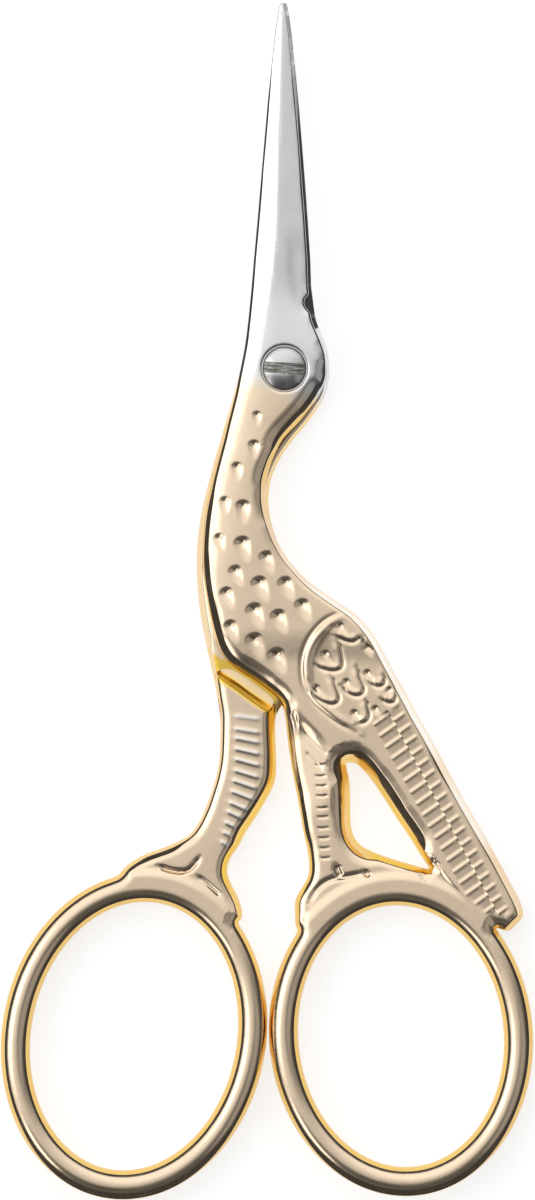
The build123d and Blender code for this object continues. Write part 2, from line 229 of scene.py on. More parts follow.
REAR_NECK_STATIONS = (
    Station(-0.7, 26.0, 0.02, 0.04, 0.02, 33.0, 12.0, 0.0),
    Station(-2.1, 11.0, 0.04, 0.10, 0.03, 33.0, 12.0, 0.0),
    Station(0.15, 26.0, 0.012, 0.05, 0.02, 33.0, 24.0, 0.0),
    Station(1.7, 10.0, 0.04, 0.26, 0.05, 33.0, 24.0, 0.0),
    Station(-3.3, 0.6, 0.15, 0.22, 0.75, 33.0, 4.0, 0.2),
    Station(-5.2, -7.0, 0.20, 0.25, 0.80, 33.0, 4.0, 0.6),
    Station(-6.5, -14.0, 0.20, 0.25, 0.80, 33.0, 4.0, 0.6),
    Station(-6.0, -20.0, 0.20, 0.25, 0.80, 33.0, 4.0, 0.6),
    Station(3.3, 0.0, 0.15, 0.22, 0.75, 33.0, 4.0, 0.2),
    Station(0.7, -5.0, 0.20, 0.25, 0.80, 33.0, 4.0, 0.6),
    Station(-1.1, -10.0, 0.20, 0.25, 0.80, 33.0, 4.0, 0.6),
    Station(0.4, -15.5, 0.20, 0.25, 0.60, 33.0, 4.0, 0.6),
    Station(0.8, -20.5, 0.20, 0.25, 0.60, 33.0, 4.0, 0.6),
)


@dataclass(frozen=True)
class Corner:
    """How the mating side's corner is broken at one place: its width and its slope."""

    x: float
    y: float
    width: float
    slope_deg: float


REAR_CORNERS = (
    Corner(-0.7, 26.0, 0.0, 40.0),
    Corner(-2.2, 10.0, 0.0, 40.0),
    Corner(-2.9, 3.0, 0.0, 45.0),
    Corner(-3.6, -1.0, 0.20, 58.0),
    Corner(-5.3, -7.0, 0.36, 58.0),
    Corner(-6.4, -13.0, 0.46, 58.0),
    Corner(-6.2, -19.0, 0.50, 56.0),
    Corner(-5.3, -23.0, 0.30, 56.0),
    Corner(-4.9, -26.0, 0.0, 56.0),
    Corner(0.3, 26.0, 0.12, 42.0),
    Corner(1.5, 13.0, 0.40, 42.0),
    Corner(2.0, 8.0, 0.48, 40.0),
    Corner(2.2, 6.9, 0.72, 40.0),
    Corner(2.4, 5.8, 0.98, 40.0),
    Corner(2.55, 4.6, 0.98, 40.0),
    Corner(2.75, 3.6, 0.72, 42.0),
    Corner(3.1, 2.4, 0.40, 52.0),
    Corner(3.4, 0.0, 0.26, 60.0),
    Corner(2.7, -2.6, 0.26, 60.0),
    Corner(0.6, -5.4, 0.26, 60.0),
    Corner(-1.2, -9.5, 0.26, 60.0),
    Corner(-0.4, -14.0, 0.0, 60.0),
    Corner(0.8, -20.5, 0.0, 60.0),
)
BOW_EDGE = Station(0.0, 0.0, 0.30, 0.12, 0.66, 41.0, 0.0, 0.75)


@dataclass
class Loop:
    """One closed line of an outline, evenly spaced, with its material on the left."""

    points: Points
    is_bow: bool = False

    def inward(self) -> Points:
        """Find which way the material lies.

        Returns:
            Unit vectors into the material, one for each point.
        """
        ahead = np.roll(self.points, -1, axis=0) - np.roll(self.points, 1, axis=0)
        ahead /= np.maximum(np.linalg.norm(ahead, axis=1, keepdims=True), 1e-9)
        return np.stack([-ahead[:, 1], ahead[:, 0]], axis=1)

    def area(self) -> float:
        """Signed area, positive for an outer line."""
        x, y = self.points[:, 0], self.points[:, 1]
        return 0.5 * float(np.sum(x * np.roll(y, -1) - y * np.roll(x, -1)))


def select_only(piece: bpy.types.Object) -> None:
    """Make a piece the one selected and active object.

    Args:
        piece: Object to select.
    """
    bpy.ops.object.select_all(action="DESELECT")
    piece.select_set(True)
    bpy.context.view_layer.objects.active = piece


def cut_edges(node: str, height: float) -> tuple[Points, list[tuple[int, int]]]:
    """Edges where a level plane cuts a solid.

    Args:
        node: Name of the solid.
        height: Height of the plane in millimetres.

    Returns:
        Points in millimetres and pairs of their numbers.
    """
    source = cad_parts[node]
    piece = bpy.data.objects.new("cut_" + node, source.data.copy())
    bpy.context.scene.collection.objects.link(piece)
    select_only(piece)
    bpy.ops.object.mode_set(mode="EDIT")
    bpy.ops.mesh.select_all(action="SELECT")
    bpy.ops.mesh.remove_doubles(threshold=SOLID_WELD * MM)
    bpy.ops.mesh.bisect(plane_co=(0, 0, height * MM), plane_no=(0, 0, 1),
                        clear_inner=True, clear_outer=True, threshold=CUT_TOLERANCE * MM)
    bpy.ops.mesh.select_all(action="SELECT")
    bpy.ops.mesh.remove_doubles(threshold=CUT_WELD * MM)
    bpy.ops.object.mode_set(mode="OBJECT")
    mesh = piece.data
    points = np.array([v.co[:2] for v in mesh.vertices], float) / MM
    edges = [tuple(e.vertices) for e in mesh.edges]
    bpy.data.objects.remove(piece)
    bpy.data.meshes.remove(mesh)
    return points, edges


def chain(points: Points, edges: Sequence[tuple[int, int]]) -> list[Points]:
    """Join loose edges into closed lines, bridging a break to its nearest end.

    Args:
        points: Points in millimetres.
        edges: Pairs of their numbers.

    Returns:
        The points of each line, in order.
    """
    links: dict[int, list[int]] = {}
    for a, b in edges:
        links.setdefault(a, []).append(b)
        links.setdefault(b, []).append(a)
    ends = [k for k, v in links.items() if len(v) == 1]
    while len(ends) > 1:
        a = ends.pop()
        gaps = [np.linalg.norm(points[a] - points[b]) for b in ends]
        b = ends.pop(int(np.argmin(gaps)))
        links[a].append(b)
        links[b].append(a)
    lines = []
    left = set(links)
    while left:
        start = min(left)
        line = [start]
        left.discard(start)
        here = start
        while True:
            onward = [n for n in links[here] if n in left]
            if not onward:
                break
            here = onward[0]
            left.discard(here)
            line.append(here)
        if len(line) > FEWEST_POINTS:
            lines.append(points[line])
    return lines


def even(line: Points, step: float) -> Points:
    """Spread points evenly along a closed line.

    Args:
        line: Points of the line.
        step: Distance from one new point to the next.

    Returns:
        The new points.
    """
    closed = np.vstack([line, line[:1]])
    lengths = np.linalg.norm(np.diff(closed, axis=0), axis=1)
    far = np.concatenate([[0.0], np.cumsum(lengths)])
    count = max(FEWEST_PLACES, int(round(far[-1] / step)))
    places = np.arange(count) * far[-1] / count
    return np.stack([np.interp(places, far, closed[:, k]) for k in (0, 1)], axis=1)


def softness(points: Points) -> Points:
    """Say how far each stretch of an outline may be smoothed.

    Args:
        points: Points of the outline.

    Returns:
        From 0, not at all, to 1.
    """
    x, y = points[:, 0], points[:, 1]
    soft = 1.0 - CRISP_BLADE * ease(*BLADE_FOOT, y)
    tail_end = np.hypot(x - TAIL_END[0], y - TAIL_END[1])
    soft *= 1.0 - CRISP_TAIL * np.exp(-(tail_end / TAIL_END_REACH) ** 2)
    return soft


@dataclass
class Outline:
    """Outline of a half at one height, from its solid."""

    half: Half
    height: float
    step: float = 0.13
    rounds: int = 22
    crumb_area: float = 0.5
    pivot_area: float = 12.0
    pivot_reach: float = 0.5
    bow_areas: tuple[float, float] = (150.0, 300.0)
    loops: list[Loop] = field(default_factory=list)

    def build(self) -> "Outline":
        """Cut the solid, leave out the pivot's hole and smooth the lines.

        Returns:
            This outline, with its outer line first and its material on the left.
        """
        points, edges = cut_edges(self.half.node, self.height)
        for line in chain(points, edges):
            loop = Loop(even(line, self.step))
            size = abs(loop.area())
            middle = loop.points.mean(axis=0)
            at_pivot = size < self.pivot_area and np.hypot(*middle) < self.pivot_reach
            if size < self.crumb_area or at_pivot:
                continue
            loop.is_bow = self.bow_areas[0] < size < self.bow_areas[1]
            for _ in range(self.rounds):
                weight = 0.5 * softness(loop.points)[:, None]
                around = np.roll(loop.points, 1, axis=0) + np.roll(loop.points, -1, axis=0)
                loop.points += weight * (0.5 * around - loop.points)
            loop.points = even(loop.points, self.step)
            self.loops.append(loop)
        self.loops.sort(key=lambda item: -abs(item.area()))
        for number, loop in enumerate(self.loops):
            if (loop.area() > 0) != (number == 0):
                loop.points = loop.points[::-1].copy()
        return self


def bands(points: Points, samples: Points, reach: float) -> Iterator[tuple[Points, Points]]:
    """Pair points with the samples that lie within reach of them along Y.

    Args:
        points: Points to go through, a band at a time.
        samples: Points to look for near them.
        reach: Distance along Y within which a sample counts.

    Yields:
        The numbers of some points, and of the samples near them.
    """
    if not len(points):
        return
    order = np.argsort(points[:, 1])
    ys = points[order, 1]
    sample_order = np.argsort(samples[:, 1])
    sample_ys = samples[sample_order, 1]
    for low in np.arange(ys[0], ys[-1] + 1e-6, BAND):
        first, last = np.searchsorted(ys, [low, low + BAND])
        if first == last:
            continue
        near = np.searchsorted(sample_ys, [low - reach, low + BAND + reach])
        yield order[first:last], sample_order[near[0]:near[1]]


def blended(points: Points, places: Sequence[tuple[float, float]],
            values: Sequence[tuple[float, ...]]) -> Points:
    """Blend values that are given at a few places, the nearest counting most.

    Args:
        points: Points to find the values at.
        places: Where the values are given.
        values: The values at each of those places.

    Returns:
        A row of values for each point.
    """
    gaps = np.linalg.norm(points[:, None] - np.array(places)[None], axis=2)
    weights = 1.0 / (gaps ** 4 + BLEND_SOFTNESS)
    return weights @ np.array(values) / weights.sum(axis=1, keepdims=True)


class Rim:
    """The edge of a carved face: its outline and the shape of its wall all the way round.

    Round the far end of a bow, the outer wall is low and its facet wide.
    """

    REACH = 2.6
    FACET_SLOPE = math.tan(math.radians(40.0))
    BOW_REACH = 4.0
    BOW_BAND = (2.45, 3.1)
    UNDER_BAND = (0.35, 0.95)
    UNDER_WALL_CUT = 0.85
    UNDER_FACET_GAIN = 0.20
    LOWEST_FOOT = 0.06
    CRISP = 0.02

    def __init__(self, outline: Outline, stations: Sequence[Station]) -> None:
        """Take the outline and give each point its wall from the stations near it.

        Args:
            outline: Outline of the half.
            stations: Shape of the edge at places along it.
        """
        self.loops = outline.loops
        self.points = np.vstack([loop.points for loop in self.loops])
        self.inward = np.vstack([loop.inward() for loop in self.loops])
        bow = np.concatenate([np.full(len(loop.points), loop.is_bow) for loop in self.loops])
        shape = blended(self.points, [(s.x, s.y) for s in stations],
                        [self.numbers(s) for s in stations])
        self.hole = next(loop for loop in self.loops if loop.is_bow).points
        on_bow = np.maximum(self.on_bow(self.points, self.BOW_BAND), bow)
        shape = mix(shape, np.array(self.numbers(BOW_EDGE))[None], on_bow[:, None])
        self.wall, self.facet, self.bevel, self.steep, self.gentle, self.warmth = shape.T
        under = ease(*self.UNDER_BAND, self.inward[:, 1]) * on_bow * (1.0 - bow)
        self.wall = self.wall * (1.0 - self.UNDER_WALL_CUT * under)
        self.facet = self.facet + self.UNDER_FACET_GAIN * under
        self.foot = np.full(len(self.points), 1.0)

    @staticmethod
    def numbers(station: Station) -> tuple[float, ...]:
        """A station's widths, the slopes of its bevel and its warmth."""
        return (station.wall, station.facet, station.bevel, math.tan(math.radians(station.steep)),
                math.tan(math.radians(station.gentle)), station.warmth)

    def settle(self, face: Callable[[Points], Points]) -> None:
        """Give each wall the height that brings its bevel up to the face.

        Args:
            face: Gives the height of the face at any places.
        """
        inside = self.points + self.inward * (self.wall + self.facet + self.bevel)[:, None]
        rise = self.facet * self.FACET_SLOPE + self.bevel * 0.5 * (self.steep + self.gentle)
        self.foot = np.maximum(face(inside) - rise, self.LOWEST_FOOT)

    def edge(self, places: Points) -> tuple[Points, Points]:
        """Find the nearest point of the outline.

        Args:
            places: Points in millimetres.

        Returns:
            Distance to it, at most the rim's reach, and its number.
        """
        gap = np.full(len(places), self.REACH)
        nearest = np.zeros(len(places), int)
        for some, near in bands(places, self.points, self.REACH):
            if not len(near):
                continue
            each = np.linalg.norm(places[some, None] - self.points[None, near], axis=2)
            best = each.argmin(axis=1)
            gap[some] = np.minimum(each[np.arange(len(some)), best], self.REACH)
            nearest[some] = near[best]
        return gap, nearest

    def from_bow(self, places: Points) -> Points:
        """Measure how far places are from the inner line of the finger bow.

        Args:
            places: Points in millimetres.

        Returns:
            The distances, or a large one beyond the bow's reach.
        """
        gap = np.full(len(places), FAR)
        for some, near in bands(places, self.hole, self.BOW_REACH):
            if len(near):
                each = np.linalg.norm(places[some, None] - self.hole[None, near], axis=2)
                gap[some] = each.min(axis=1)
        return gap

    def on_bow(self, places: Points, band: tuple[float, float]) -> Points:
        """Share of the bow's own shape: 1 before the band across its arm, 0 past it."""
        return 1.0 - ease(*band, self.from_bow(places))

    def rise(self, places: Points, face: Points) -> Points:
        """Lower the face to the wall, facet and bevel of the nearest edges.

        Args:
            places: Points in millimetres.
            face: Height of the face at each of them.

        Returns:
            Height above the parting line.
        """
        height = face.copy()
        for some, near in bands(places, self.points, self.REACH):
            if not len(near):
                continue
            gap = np.linalg.norm(places[some, None] - self.points[None, near], axis=2)
            wall, facet, bevel = (v[None, near] for v in (self.wall, self.facet, self.bevel))
            steep, gentle, foot = (v[None, near] for v in (self.steep, self.gentle, self.foot))
            on_facet = np.clip(gap - wall, 0.0, facet) * self.FACET_SLOPE
            along = np.clip(gap - wall - facet, 0.0, bevel)
            share = along / np.maximum(bevel, 1e-6)
            on_bevel = along * (steep + 0.5 * (gentle - steep) * share)
            each = foot * np.clip(gap / wall, 0.0, 1.0) + on_facet + on_bevel
            each = np.where(gap > wall + facet + bevel, FAR, each)
            height[some] = np.minimum(height[some], each.min(axis=1))
        return height

    def inside(self, places: Points) -> Points:
        """Count the outline's lines beyond each place, to see which lie in the material.

        Args:
            places: Points in millimetres.

        Returns:
            Whether each one does.
        """
        start = self.points
        end = np.vstack([np.roll(loop.points, -1, axis=0) for loop in self.loops])
        result = np.zeros(len(places), bool)
        for some, near in bands(places, start, 0.3):
            if not len(near):
                continue
            x, y = places[some, 0, None], places[some, 1, None]
            x0, y0 = start[None, near, 0], start[None, near, 1]
            x1, y1 = end[None, near, 0], end[None, near, 1]
            crosses = (y0 > y) != (y1 > y)
            run = np.where(np.abs(y1 - y0) < 1e-12, 1e-12, y1 - y0)
            beyond = x < x0 + (x1 - x0) * (y - y0) / run
            result[some] = (crosses & beyond).sum(axis=1) % 2 == 1
        return result

    def ring_places(self) -> Points:
        """Follow the outline over its wall, facet and bevel.

        Rows lie close together at both corners of the facet, which keeps them crisp.

        Returns:
            The places of all the rows.
        """
        rows = []
        start = 0
        for loop in self.loops:
            part = slice(start, start + len(loop.points))
            start += len(loop.points)
            wall, facet, bevel = self.wall[part], self.facet[part], self.bevel[part]
            crisp = np.minimum(self.CRISP, 0.3 * facet)
            offsets = [0.5 * wall, wall - 0.25 * np.minimum(crisp, wall), wall + 0.5 * crisp,
                       wall + 1.3 * crisp, wall + 0.5 * facet, wall + facet - 1.3 * crisp,
                       wall + facet - 0.5 * crisp, wall + facet + crisp]
            offsets += [wall + facet + share * bevel for share in (0.2, 0.4, 0.6, 0.8, 1.0)]
            for offset in offsets:
                row = loop.points + self.inward[part] * offset[:, None]
                gap, _ = self.edge(row)
                rows.append(row[np.abs(gap - offset) < 0.06 * offset + 0.004])
        return np.vstack(rows)


def line_reading(places: Points, line: Points) -> tuple[Points, Points]:
    """Read places against an open line.

    Args:
        places: Points in millimetres.
        line: Corner points of the line.

    Returns:
        Distance to the line, signed to be positive on its left, and the share along it.
    """
    best = np.full(len(places), 1e9)
    signed = np.zeros(len(places))
    share = np.zeros(len(places))
    lengths = np.linalg.norm(np.diff(line, axis=0), axis=1)
    far = np.concatenate([[0.0], np.cumsum(lengths)])
    for k, length in enumerate(lengths):
        way = (line[k + 1] - line[k]) / length
        rel = places - line[k]
        along = np.clip(rel @ way, 0.0, length)
        off = rel - along[:, None] * way
        gap = np.linalg.norm(off, axis=1)
        nearer = gap < best
        best[nearer] = gap[nearer]
        side = np.sign(way[0] * rel[:, 1] - way[1] * rel[:, 0])
        signed[nearer] = (gap * side)[nearer]
        share[nearer] = ((far[k] + along) / far[-1])[nearer]
    return signed, share


def rounded(line: Sequence[tuple[float, float]], rounds: int = 2) -> Points:
    """Round the corners of a line of photograph pixels.

    Args:
        line: Corners in pixels.
        rounds: How often each corner is cut.

    Returns:
        Points of the line in millimetres.
    """
    points = np.array([at(*p) for p in line])
    for _ in range(rounds):
        ahead = mix(points[:-1], points[1:], 0.25)
        behind = mix(points[:-1], points[1:], 0.75)
        middle = np.stack([ahead, behind], axis=1).reshape(-1, 2)
        points = np.vstack([points[:1], middle, points[-1:]])
    return points


@dataclass(frozen=True)
class Mark:
    """A groove, or a ridge where its depth is negative, along a line of pixels."""

    MARGIN = 1.2
    END_SHARE = 0.14
    END_DEPTH = 0.25
    LIP_PLACE = 2.2
    LIP_SPREAD = 1.7

    line: tuple[tuple[float, float], ...]
    depth: float
    half_width: float
    lip: float = 0.0

    def carve(self, places: Points, height: Points) -> None:
        """Lower the height along the line, with an optional raised lip on its left.

        Args:
            places: Points in millimetres.
            height: Height at each of them, which is changed.
        """
        line = rounded(self.line)
        low, high = line.min(axis=0) - self.MARGIN, line.max(axis=0) + self.MARGIN
        near = np.all((places > low) & (places < high), axis=1)
        if not near.any():
            return
        gap, share = line_reading(places[near], line)
        taper = (ease(0.0, self.END_SHARE, share)
                 * (1.0 - ease(1.0 - self.END_SHARE, 1.0, share)))
        taper = self.END_DEPTH + (1.0 - self.END_DEPTH) * taper
        cut = self.depth * np.exp(-(gap / self.half_width) ** 2)
        beside = (gap - self.LIP_PLACE * self.half_width) / (self.LIP_SPREAD * self.half_width)
        raised = self.lip * np.exp(-beside ** 2)
        height[near] += (raised - cut) * taper


@dataclass(frozen=True)
class Hollow:
    """One egg of a dimple, as shares of the dimple's depth, width and length."""

    NARROWING = 0.22
    SHALLOWING = 0.45

    depth: float
    head: float
    tail: float
    half: float

    def bowl(self, along: Points, across: Points, width: float, length: float) -> Points:
        """Work out the hollow, smooth at its edge and shallower down its tail.

        Args:
            along: Distance from the dimple's head down its tail.
            across: Distance to the side.
            width: Width of the dimple.
            length: Length of the dimple.

        Returns:
            1 at the deepest place, and 0 outside.
        """
        ahead = np.where(along < 0.0, along / (self.head * width), along / (self.tail * length))
        down = np.clip(ahead, 0.0, 1.0)
        narrow = self.half * width * (1.0 - self.NARROWING * down)
        radius = np.hypot(ahead, across / narrow)
        bowl = np.clip(1.0 - radius ** 2, 0.0, 1.0) ** 1.5
        return bowl * (1.0 - self.SHALLOWING * down)


PIT = Hollow(0.46, 0.26, 0.40, 0.23)
LOBE = Hollow(0.84, 0.46, 1.20, 0.58)


@dataclass(frozen=True)
class Drop:
    """A drop-shaped dimple, steep at its head and running out along its tail."""

    px: float
    py: float
    length: float
    width: float
    depth: float
    lean: float

    def carve(self, places: Points, height: Points) -> None:
        """Lower the height in a wide lobe, with a small pit at its head.

        Args:
            places: Points in millimetres.
            height: Height at each of them, which is changed.
        """
        head = np.array(at(self.px, self.py))
        near = np.linalg.norm(places - head, axis=1) < 2.0 * self.length
        if not near.any():
            return
        turn = math.radians(self.lean)
        way = np.array([math.sin(turn), -math.cos(turn)])
        rel = places[near] - head
        along = rel @ way
        across = rel @ np.array([-way[1], way[0]])
        height[near] -= sum(
            hollow.depth * self.depth * hollow.bowl(along, across, self.width, self.length)
            for hollow in (PIT, LOBE))


# Lines and places of the carving, in pixels; a dimple's last number is its size in
# millimetres, and a bar's is its share of the full height
NECK_DROPS = (
    (257, 410, 0.62), (254, 440, 0.80), (237, 462, 0.78), (225, 496, 0.72), (243, 501, 0.95),
    (219, 533, 0.74), (242, 538, 1.05), (266, 552, 0.92), (235, 566, 0.88), (259, 578, 1.05),
    (285, 578, 0.98), (226, 588, 0.90), (254, 605, 1.08), (278, 611, 1.02), (302, 600, 0.98),
    (230, 621, 0.92), (254, 635, 1.10), (276, 650, 1.08),
)
WING_BORDER = (
    (345, 611), (336, 614), (326, 619), (317, 627), (308, 639), (302, 655), (301, 670),
    (303, 686), (311, 701), (324, 713), (340, 725), (356, 733),
)
WING_BAND = ((331, 624), (320, 635), (311, 650), (307, 667), (310, 683))
FEATHERS = (
    ((335, 636), (344, 641), (354, 643), (360, 637)),
    ((315, 665), (323, 670), (336, 672), (344, 667), (342, 654), (339, 640)),
    ((312, 694), (321, 702), (333, 706), (341, 700), (337, 688), (331, 675)),
    ((341, 686), (349, 695), (360, 697), (366, 690), (361, 679), (357, 667)),
    ((362, 640), (368, 647), (374, 651)),
    ((370, 683), (378, 688), (386, 684), (384, 675)),
    ((381, 699), (388, 704), (396, 702), (395, 694)),
    ((358, 724), (366, 723), (371, 715), (366, 700)),
)
FEATHER_DROPS = (
    (340, 626, 0.98), (325, 654, 0.98), (316, 688, 1.25), (346, 682, 1.0), (367, 673, 0.95),
    (354, 713, 1.05), (375, 709, 0.85), (366, 648, 0.8), (389, 690, 0.5),
)
LEG_BARS = (
    (717.5, 0.55), (730.5, 0.8), (740.0, 0.9), (751.0, 1.0), (762.0, 1.0), (773.5, 1.0),
    (784.0, 1.0), (795.0, 1.0), (806.5, 1.0), (816.0, 1.0), (827.0, 1.0), (837.0, 0.9),
    (847.0, 0.8),
)
SHIN_ROWS = (765, 776, 786, 796, 808, 817, 828, 838, 848, 858)


@dataclass(frozen=True)
class NeckDimples:
    """Dimples of the neck and body, upright on the neck and leaning on the body."""

    length: float = 1.30
    width: float = 1.14
    depth: float = 0.21
    neck_lean: float = 4.0
    body_lean: float = 20.0
    body_py: float = 500.0
    turn_px: float = 60.0
    head_px: float = 5.0

    def drops(self) -> list[Drop]:
        """Make the dimples.

        Returns:
            One drop for each row of the list.
        """
        drops = []
        for px, py, size in NECK_DROPS:
            on_body = min(1.0, max(0.0, (py - self.body_py) / self.turn_px))
            drops.append(Drop(px, py + self.head_px, self.length * size, self.width * size,
                              self.depth * size, self.neck_lean + self.body_lean * on_body))
        return drops


@dataclass(frozen=True)
class LegBars:
    """Raised bars across the rear leg, level at its head and square to it at its foot."""

    head_py: float = 717.5
    reach_px: float = 130.0
    middle_px: float = 247.0
    swing_px: float = 30.0
    swing_from: float = 0.38
    half_px: float = 13.5
    narrowing_px: float = 4.0
    narrow_from: float = 0.4
    head_slope: float = 7.0
    added_slope: float = 24.0
    height: float = 0.062
    half_width: float = 0.18

    def marks(self) -> list[Mark]:
        """Ridges as high as each row of the list says."""
        return [Mark(line, -self.height * strength, self.half_width)
                for line, (_, strength) in zip(self.lines(), LEG_BARS)]

    def lines(self) -> list[tuple[tuple[float, float], ...]]:
        """Work out the lines of the bars.

        Returns:
            Left end, middle and right end of each, in pixels.
        """
        lines = []
        for py, _ in LEG_BARS:
            down = (py - self.head_py) / self.reach_px
            middle = self.middle_px - self.swing_px * max(0.0, down - self.swing_from) ** 1.25
            half = self.half_px - self.narrowing_px * max(0.0, down - self.narrow_from)
            drop = half * math.tan(math.radians(self.head_slope + self.added_slope * down))
            lines.append(((middle - half, py - drop), (middle, py), (middle + half, py + drop)))
        return lines


@dataclass(frozen=True)
class ShinCuts:
    """Short cuts down the front leg, each bent a little at its middle."""

    across_px: tuple[float, float, float] = (314.5, 320.0, 326.0)
    drift_px: float = 0.5
    bend_px: float = 0.6
    depth: float = 0.065
    half_width: float = 0.08

    def marks(self) -> list[Mark]:
        """Make the cuts.

        Returns:
            One groove for each row of the list.
        """
        cuts = []
        for number, py in enumerate(SHIN_ROWS):
            left, middle, right = (px + number * self.drift_px for px in self.across_px)
            line = ((left, py), (middle, py + self.bend_px), (right, py - self.bend_px))
            cuts.append(Mark(line, self.depth, self.half_width))
        return cuts


@dataclass(frozen=True)
class TailTiles:
    """Two columns of small cushions down the tail, in slanting rows.

    Each cushion falls quickly, then gently, and rises steeply to the next. Across, both
    columns slope down to the right, and a groove parts them.
    """

    start: tuple[float, float] = (374.5, 724.0)
    lean_deg: float = 61.6
    row_deg: float = 35.0
    pitch: float = 0.97
    rows: int = 18
    first_column: float = 1.36
    second_top: float = 0.88
    second_end: float = 0.74
    stagger: float = 0.36
    height: float = 0.145
    sunk: float = 0.10
    tile_shares: tuple[float, ...] = (0.0, 0.19, 0.82, 1.0)
    tile_heights: tuple[float, ...] = (1.0, 0.36, 0.0, 1.0)
    down_weight: float = 0.55
    across_weight: float = 0.65
    across_fall: float = 0.62
    across_least: float = 0.3
    groove_place: float = 0.93
    groove_depth: float = 0.52
    groove_half: float = 0.15

    def carve(self, places: Points, height: Points) -> None:
        """Raise the cushions and cut the grooves between them.

        Args:
            places: Points in millimetres.
            height: Height at each of them, which is changed.
        """
        origin = np.array(at(*self.start))
        lean = math.radians(self.lean_deg)
        row = math.radians(self.row_deg)
        down = np.array([math.cos(lean), -math.sin(lean)])
        across = np.array([math.sin(lean), math.cos(lean)])
        square = np.array([math.sin(row), -math.cos(row)])
        rel = places - origin
        along = rel @ down
        side = rel @ across
        phase = (rel @ square) / (self.pitch * float(down @ square))
        in_rows = ease(-0.35, 0.0, phase) * (1.0 - ease(self.rows - 0.2, self.rows + 0.2, phase))
        share = np.clip(along / (self.rows * self.pitch), 0.0, 1.0)
        second = mix(self.second_top, self.second_end, share)
        in_left = side < self.first_column
        step = phase + np.where(in_left, 0.0, self.stagger)
        fraction = step - np.floor(step)
        down_tile = np.interp(fraction, self.tile_shares, self.tile_heights)
        across_tile = np.where(in_left, side / self.first_column,
                               (side - self.first_column) / second)
        across_tile = np.clip(across_tile, 0.0, 1.0)
        slope = np.clip(1.0 - self.across_fall * across_tile / 0.8, self.across_least, 1.0)
        past = side - self.groove_place * self.first_column
        slope -= self.groove_depth * np.exp(-(past / self.groove_half) ** 2)
        beyond = side - self.first_column - second
        on_tail = ease(-0.16, 0.04, side) * (1.0 - ease(-0.12, 0.30, beyond))
        tiles = self.down_weight * down_tile + self.across_weight * slope
        height += (self.height * tiles - self.sunk) * on_tail * in_rows


FOOT_MARKS = (
    Mark(((303, 731), (314, 742), (328, 756)), 0.06, 0.16),
    Mark(((305, 752), (313, 760), (323, 771)), 0.055, 0.15),
    Mark(((158, 866), (172, 871), (187, 872), (194, 866), (200, 857)), 0.20, 0.17),
    Mark(((197, 876), (208, 884), (221, 896)), 0.14, 0.16),
    Mark(((336, 866), (338, 872), (341, 876)), 0.26, 0.26),
    Mark(((309, 903), (314, 892), (323, 883), (334, 878), (346, 877), (364, 873)), 0.19, 0.19),
    Mark(((364, 872), (367, 874), (369, 876)), 0.20, 0.20),
)


def ornaments() -> list[Union[Drop, Mark, TailTiles]]:
    """List all the carving of the bird.

    Returns:
        The pieces of carving, in the order in which they are cut.
    """
    return [
        *NeckDimples().drops(),
        Mark(WING_BORDER, depth=0.085, half_width=0.17, lip=0.10),
        Mark(WING_BAND, depth=-0.075, half_width=0.30),
        *(Mark(line, depth=0.105, half_width=0.14, lip=0.075) for line in FEATHERS),
        *(Drop(px, py, length, width=0.60, depth=0.135, lean=38.0)
          for px, py, length in FEATHER_DROPS),
        TailTiles(),
        *LegBars().marks(),
        *ShinCuts().marks(),
        *FOOT_MARKS,
    ]


def carve_face(places: Points, height: Points, fade: Points) -> Points:
    """Cut all the ornament of the bird into a face.

    Args:
        places: Points in millimetres.
        height: Height of the plain face.
        fade: 1 where the face may be carved, 0 at its edge.

    Returns:
        The carved height.
    """
    carved = height.copy()
    for ornament in ornaments():
        ornament.carve(places, carved)
    return mix(height, carved, fade)


# Lines on which the forms of the face meet, in pixels
FRONT_RIDGE = (
    (228, 668), (221, 640), (216, 605), (215, 560), (217, 520), (222, 480), (228, 458),
    (235, 440), (241, 420), (246, 400), (252, 380), (258, 360), (262, 340), (266, 320),
    (269, 300), (273, 270), (276, 240), (277.5, 200), (278.5, 150), (280, 100), (281.5, 50),
    (282.5, 4),
)
PLUNGE_LINE = ((284.5, 225), (286, 255), (288, 285), (293, 303), (301, 320))
BREAST_LINE = ((226, 650), (250, 664), (272, 676), (288, 688), (300, 707), (318, 728), (345, 750))
TAIL_LINE = ((348, 730), (448, 876), (500, 940))
LEDGE_LINE = ((229, 664), (245, 674), (258, 684), (270, 692), (281, 700), (290, 712))


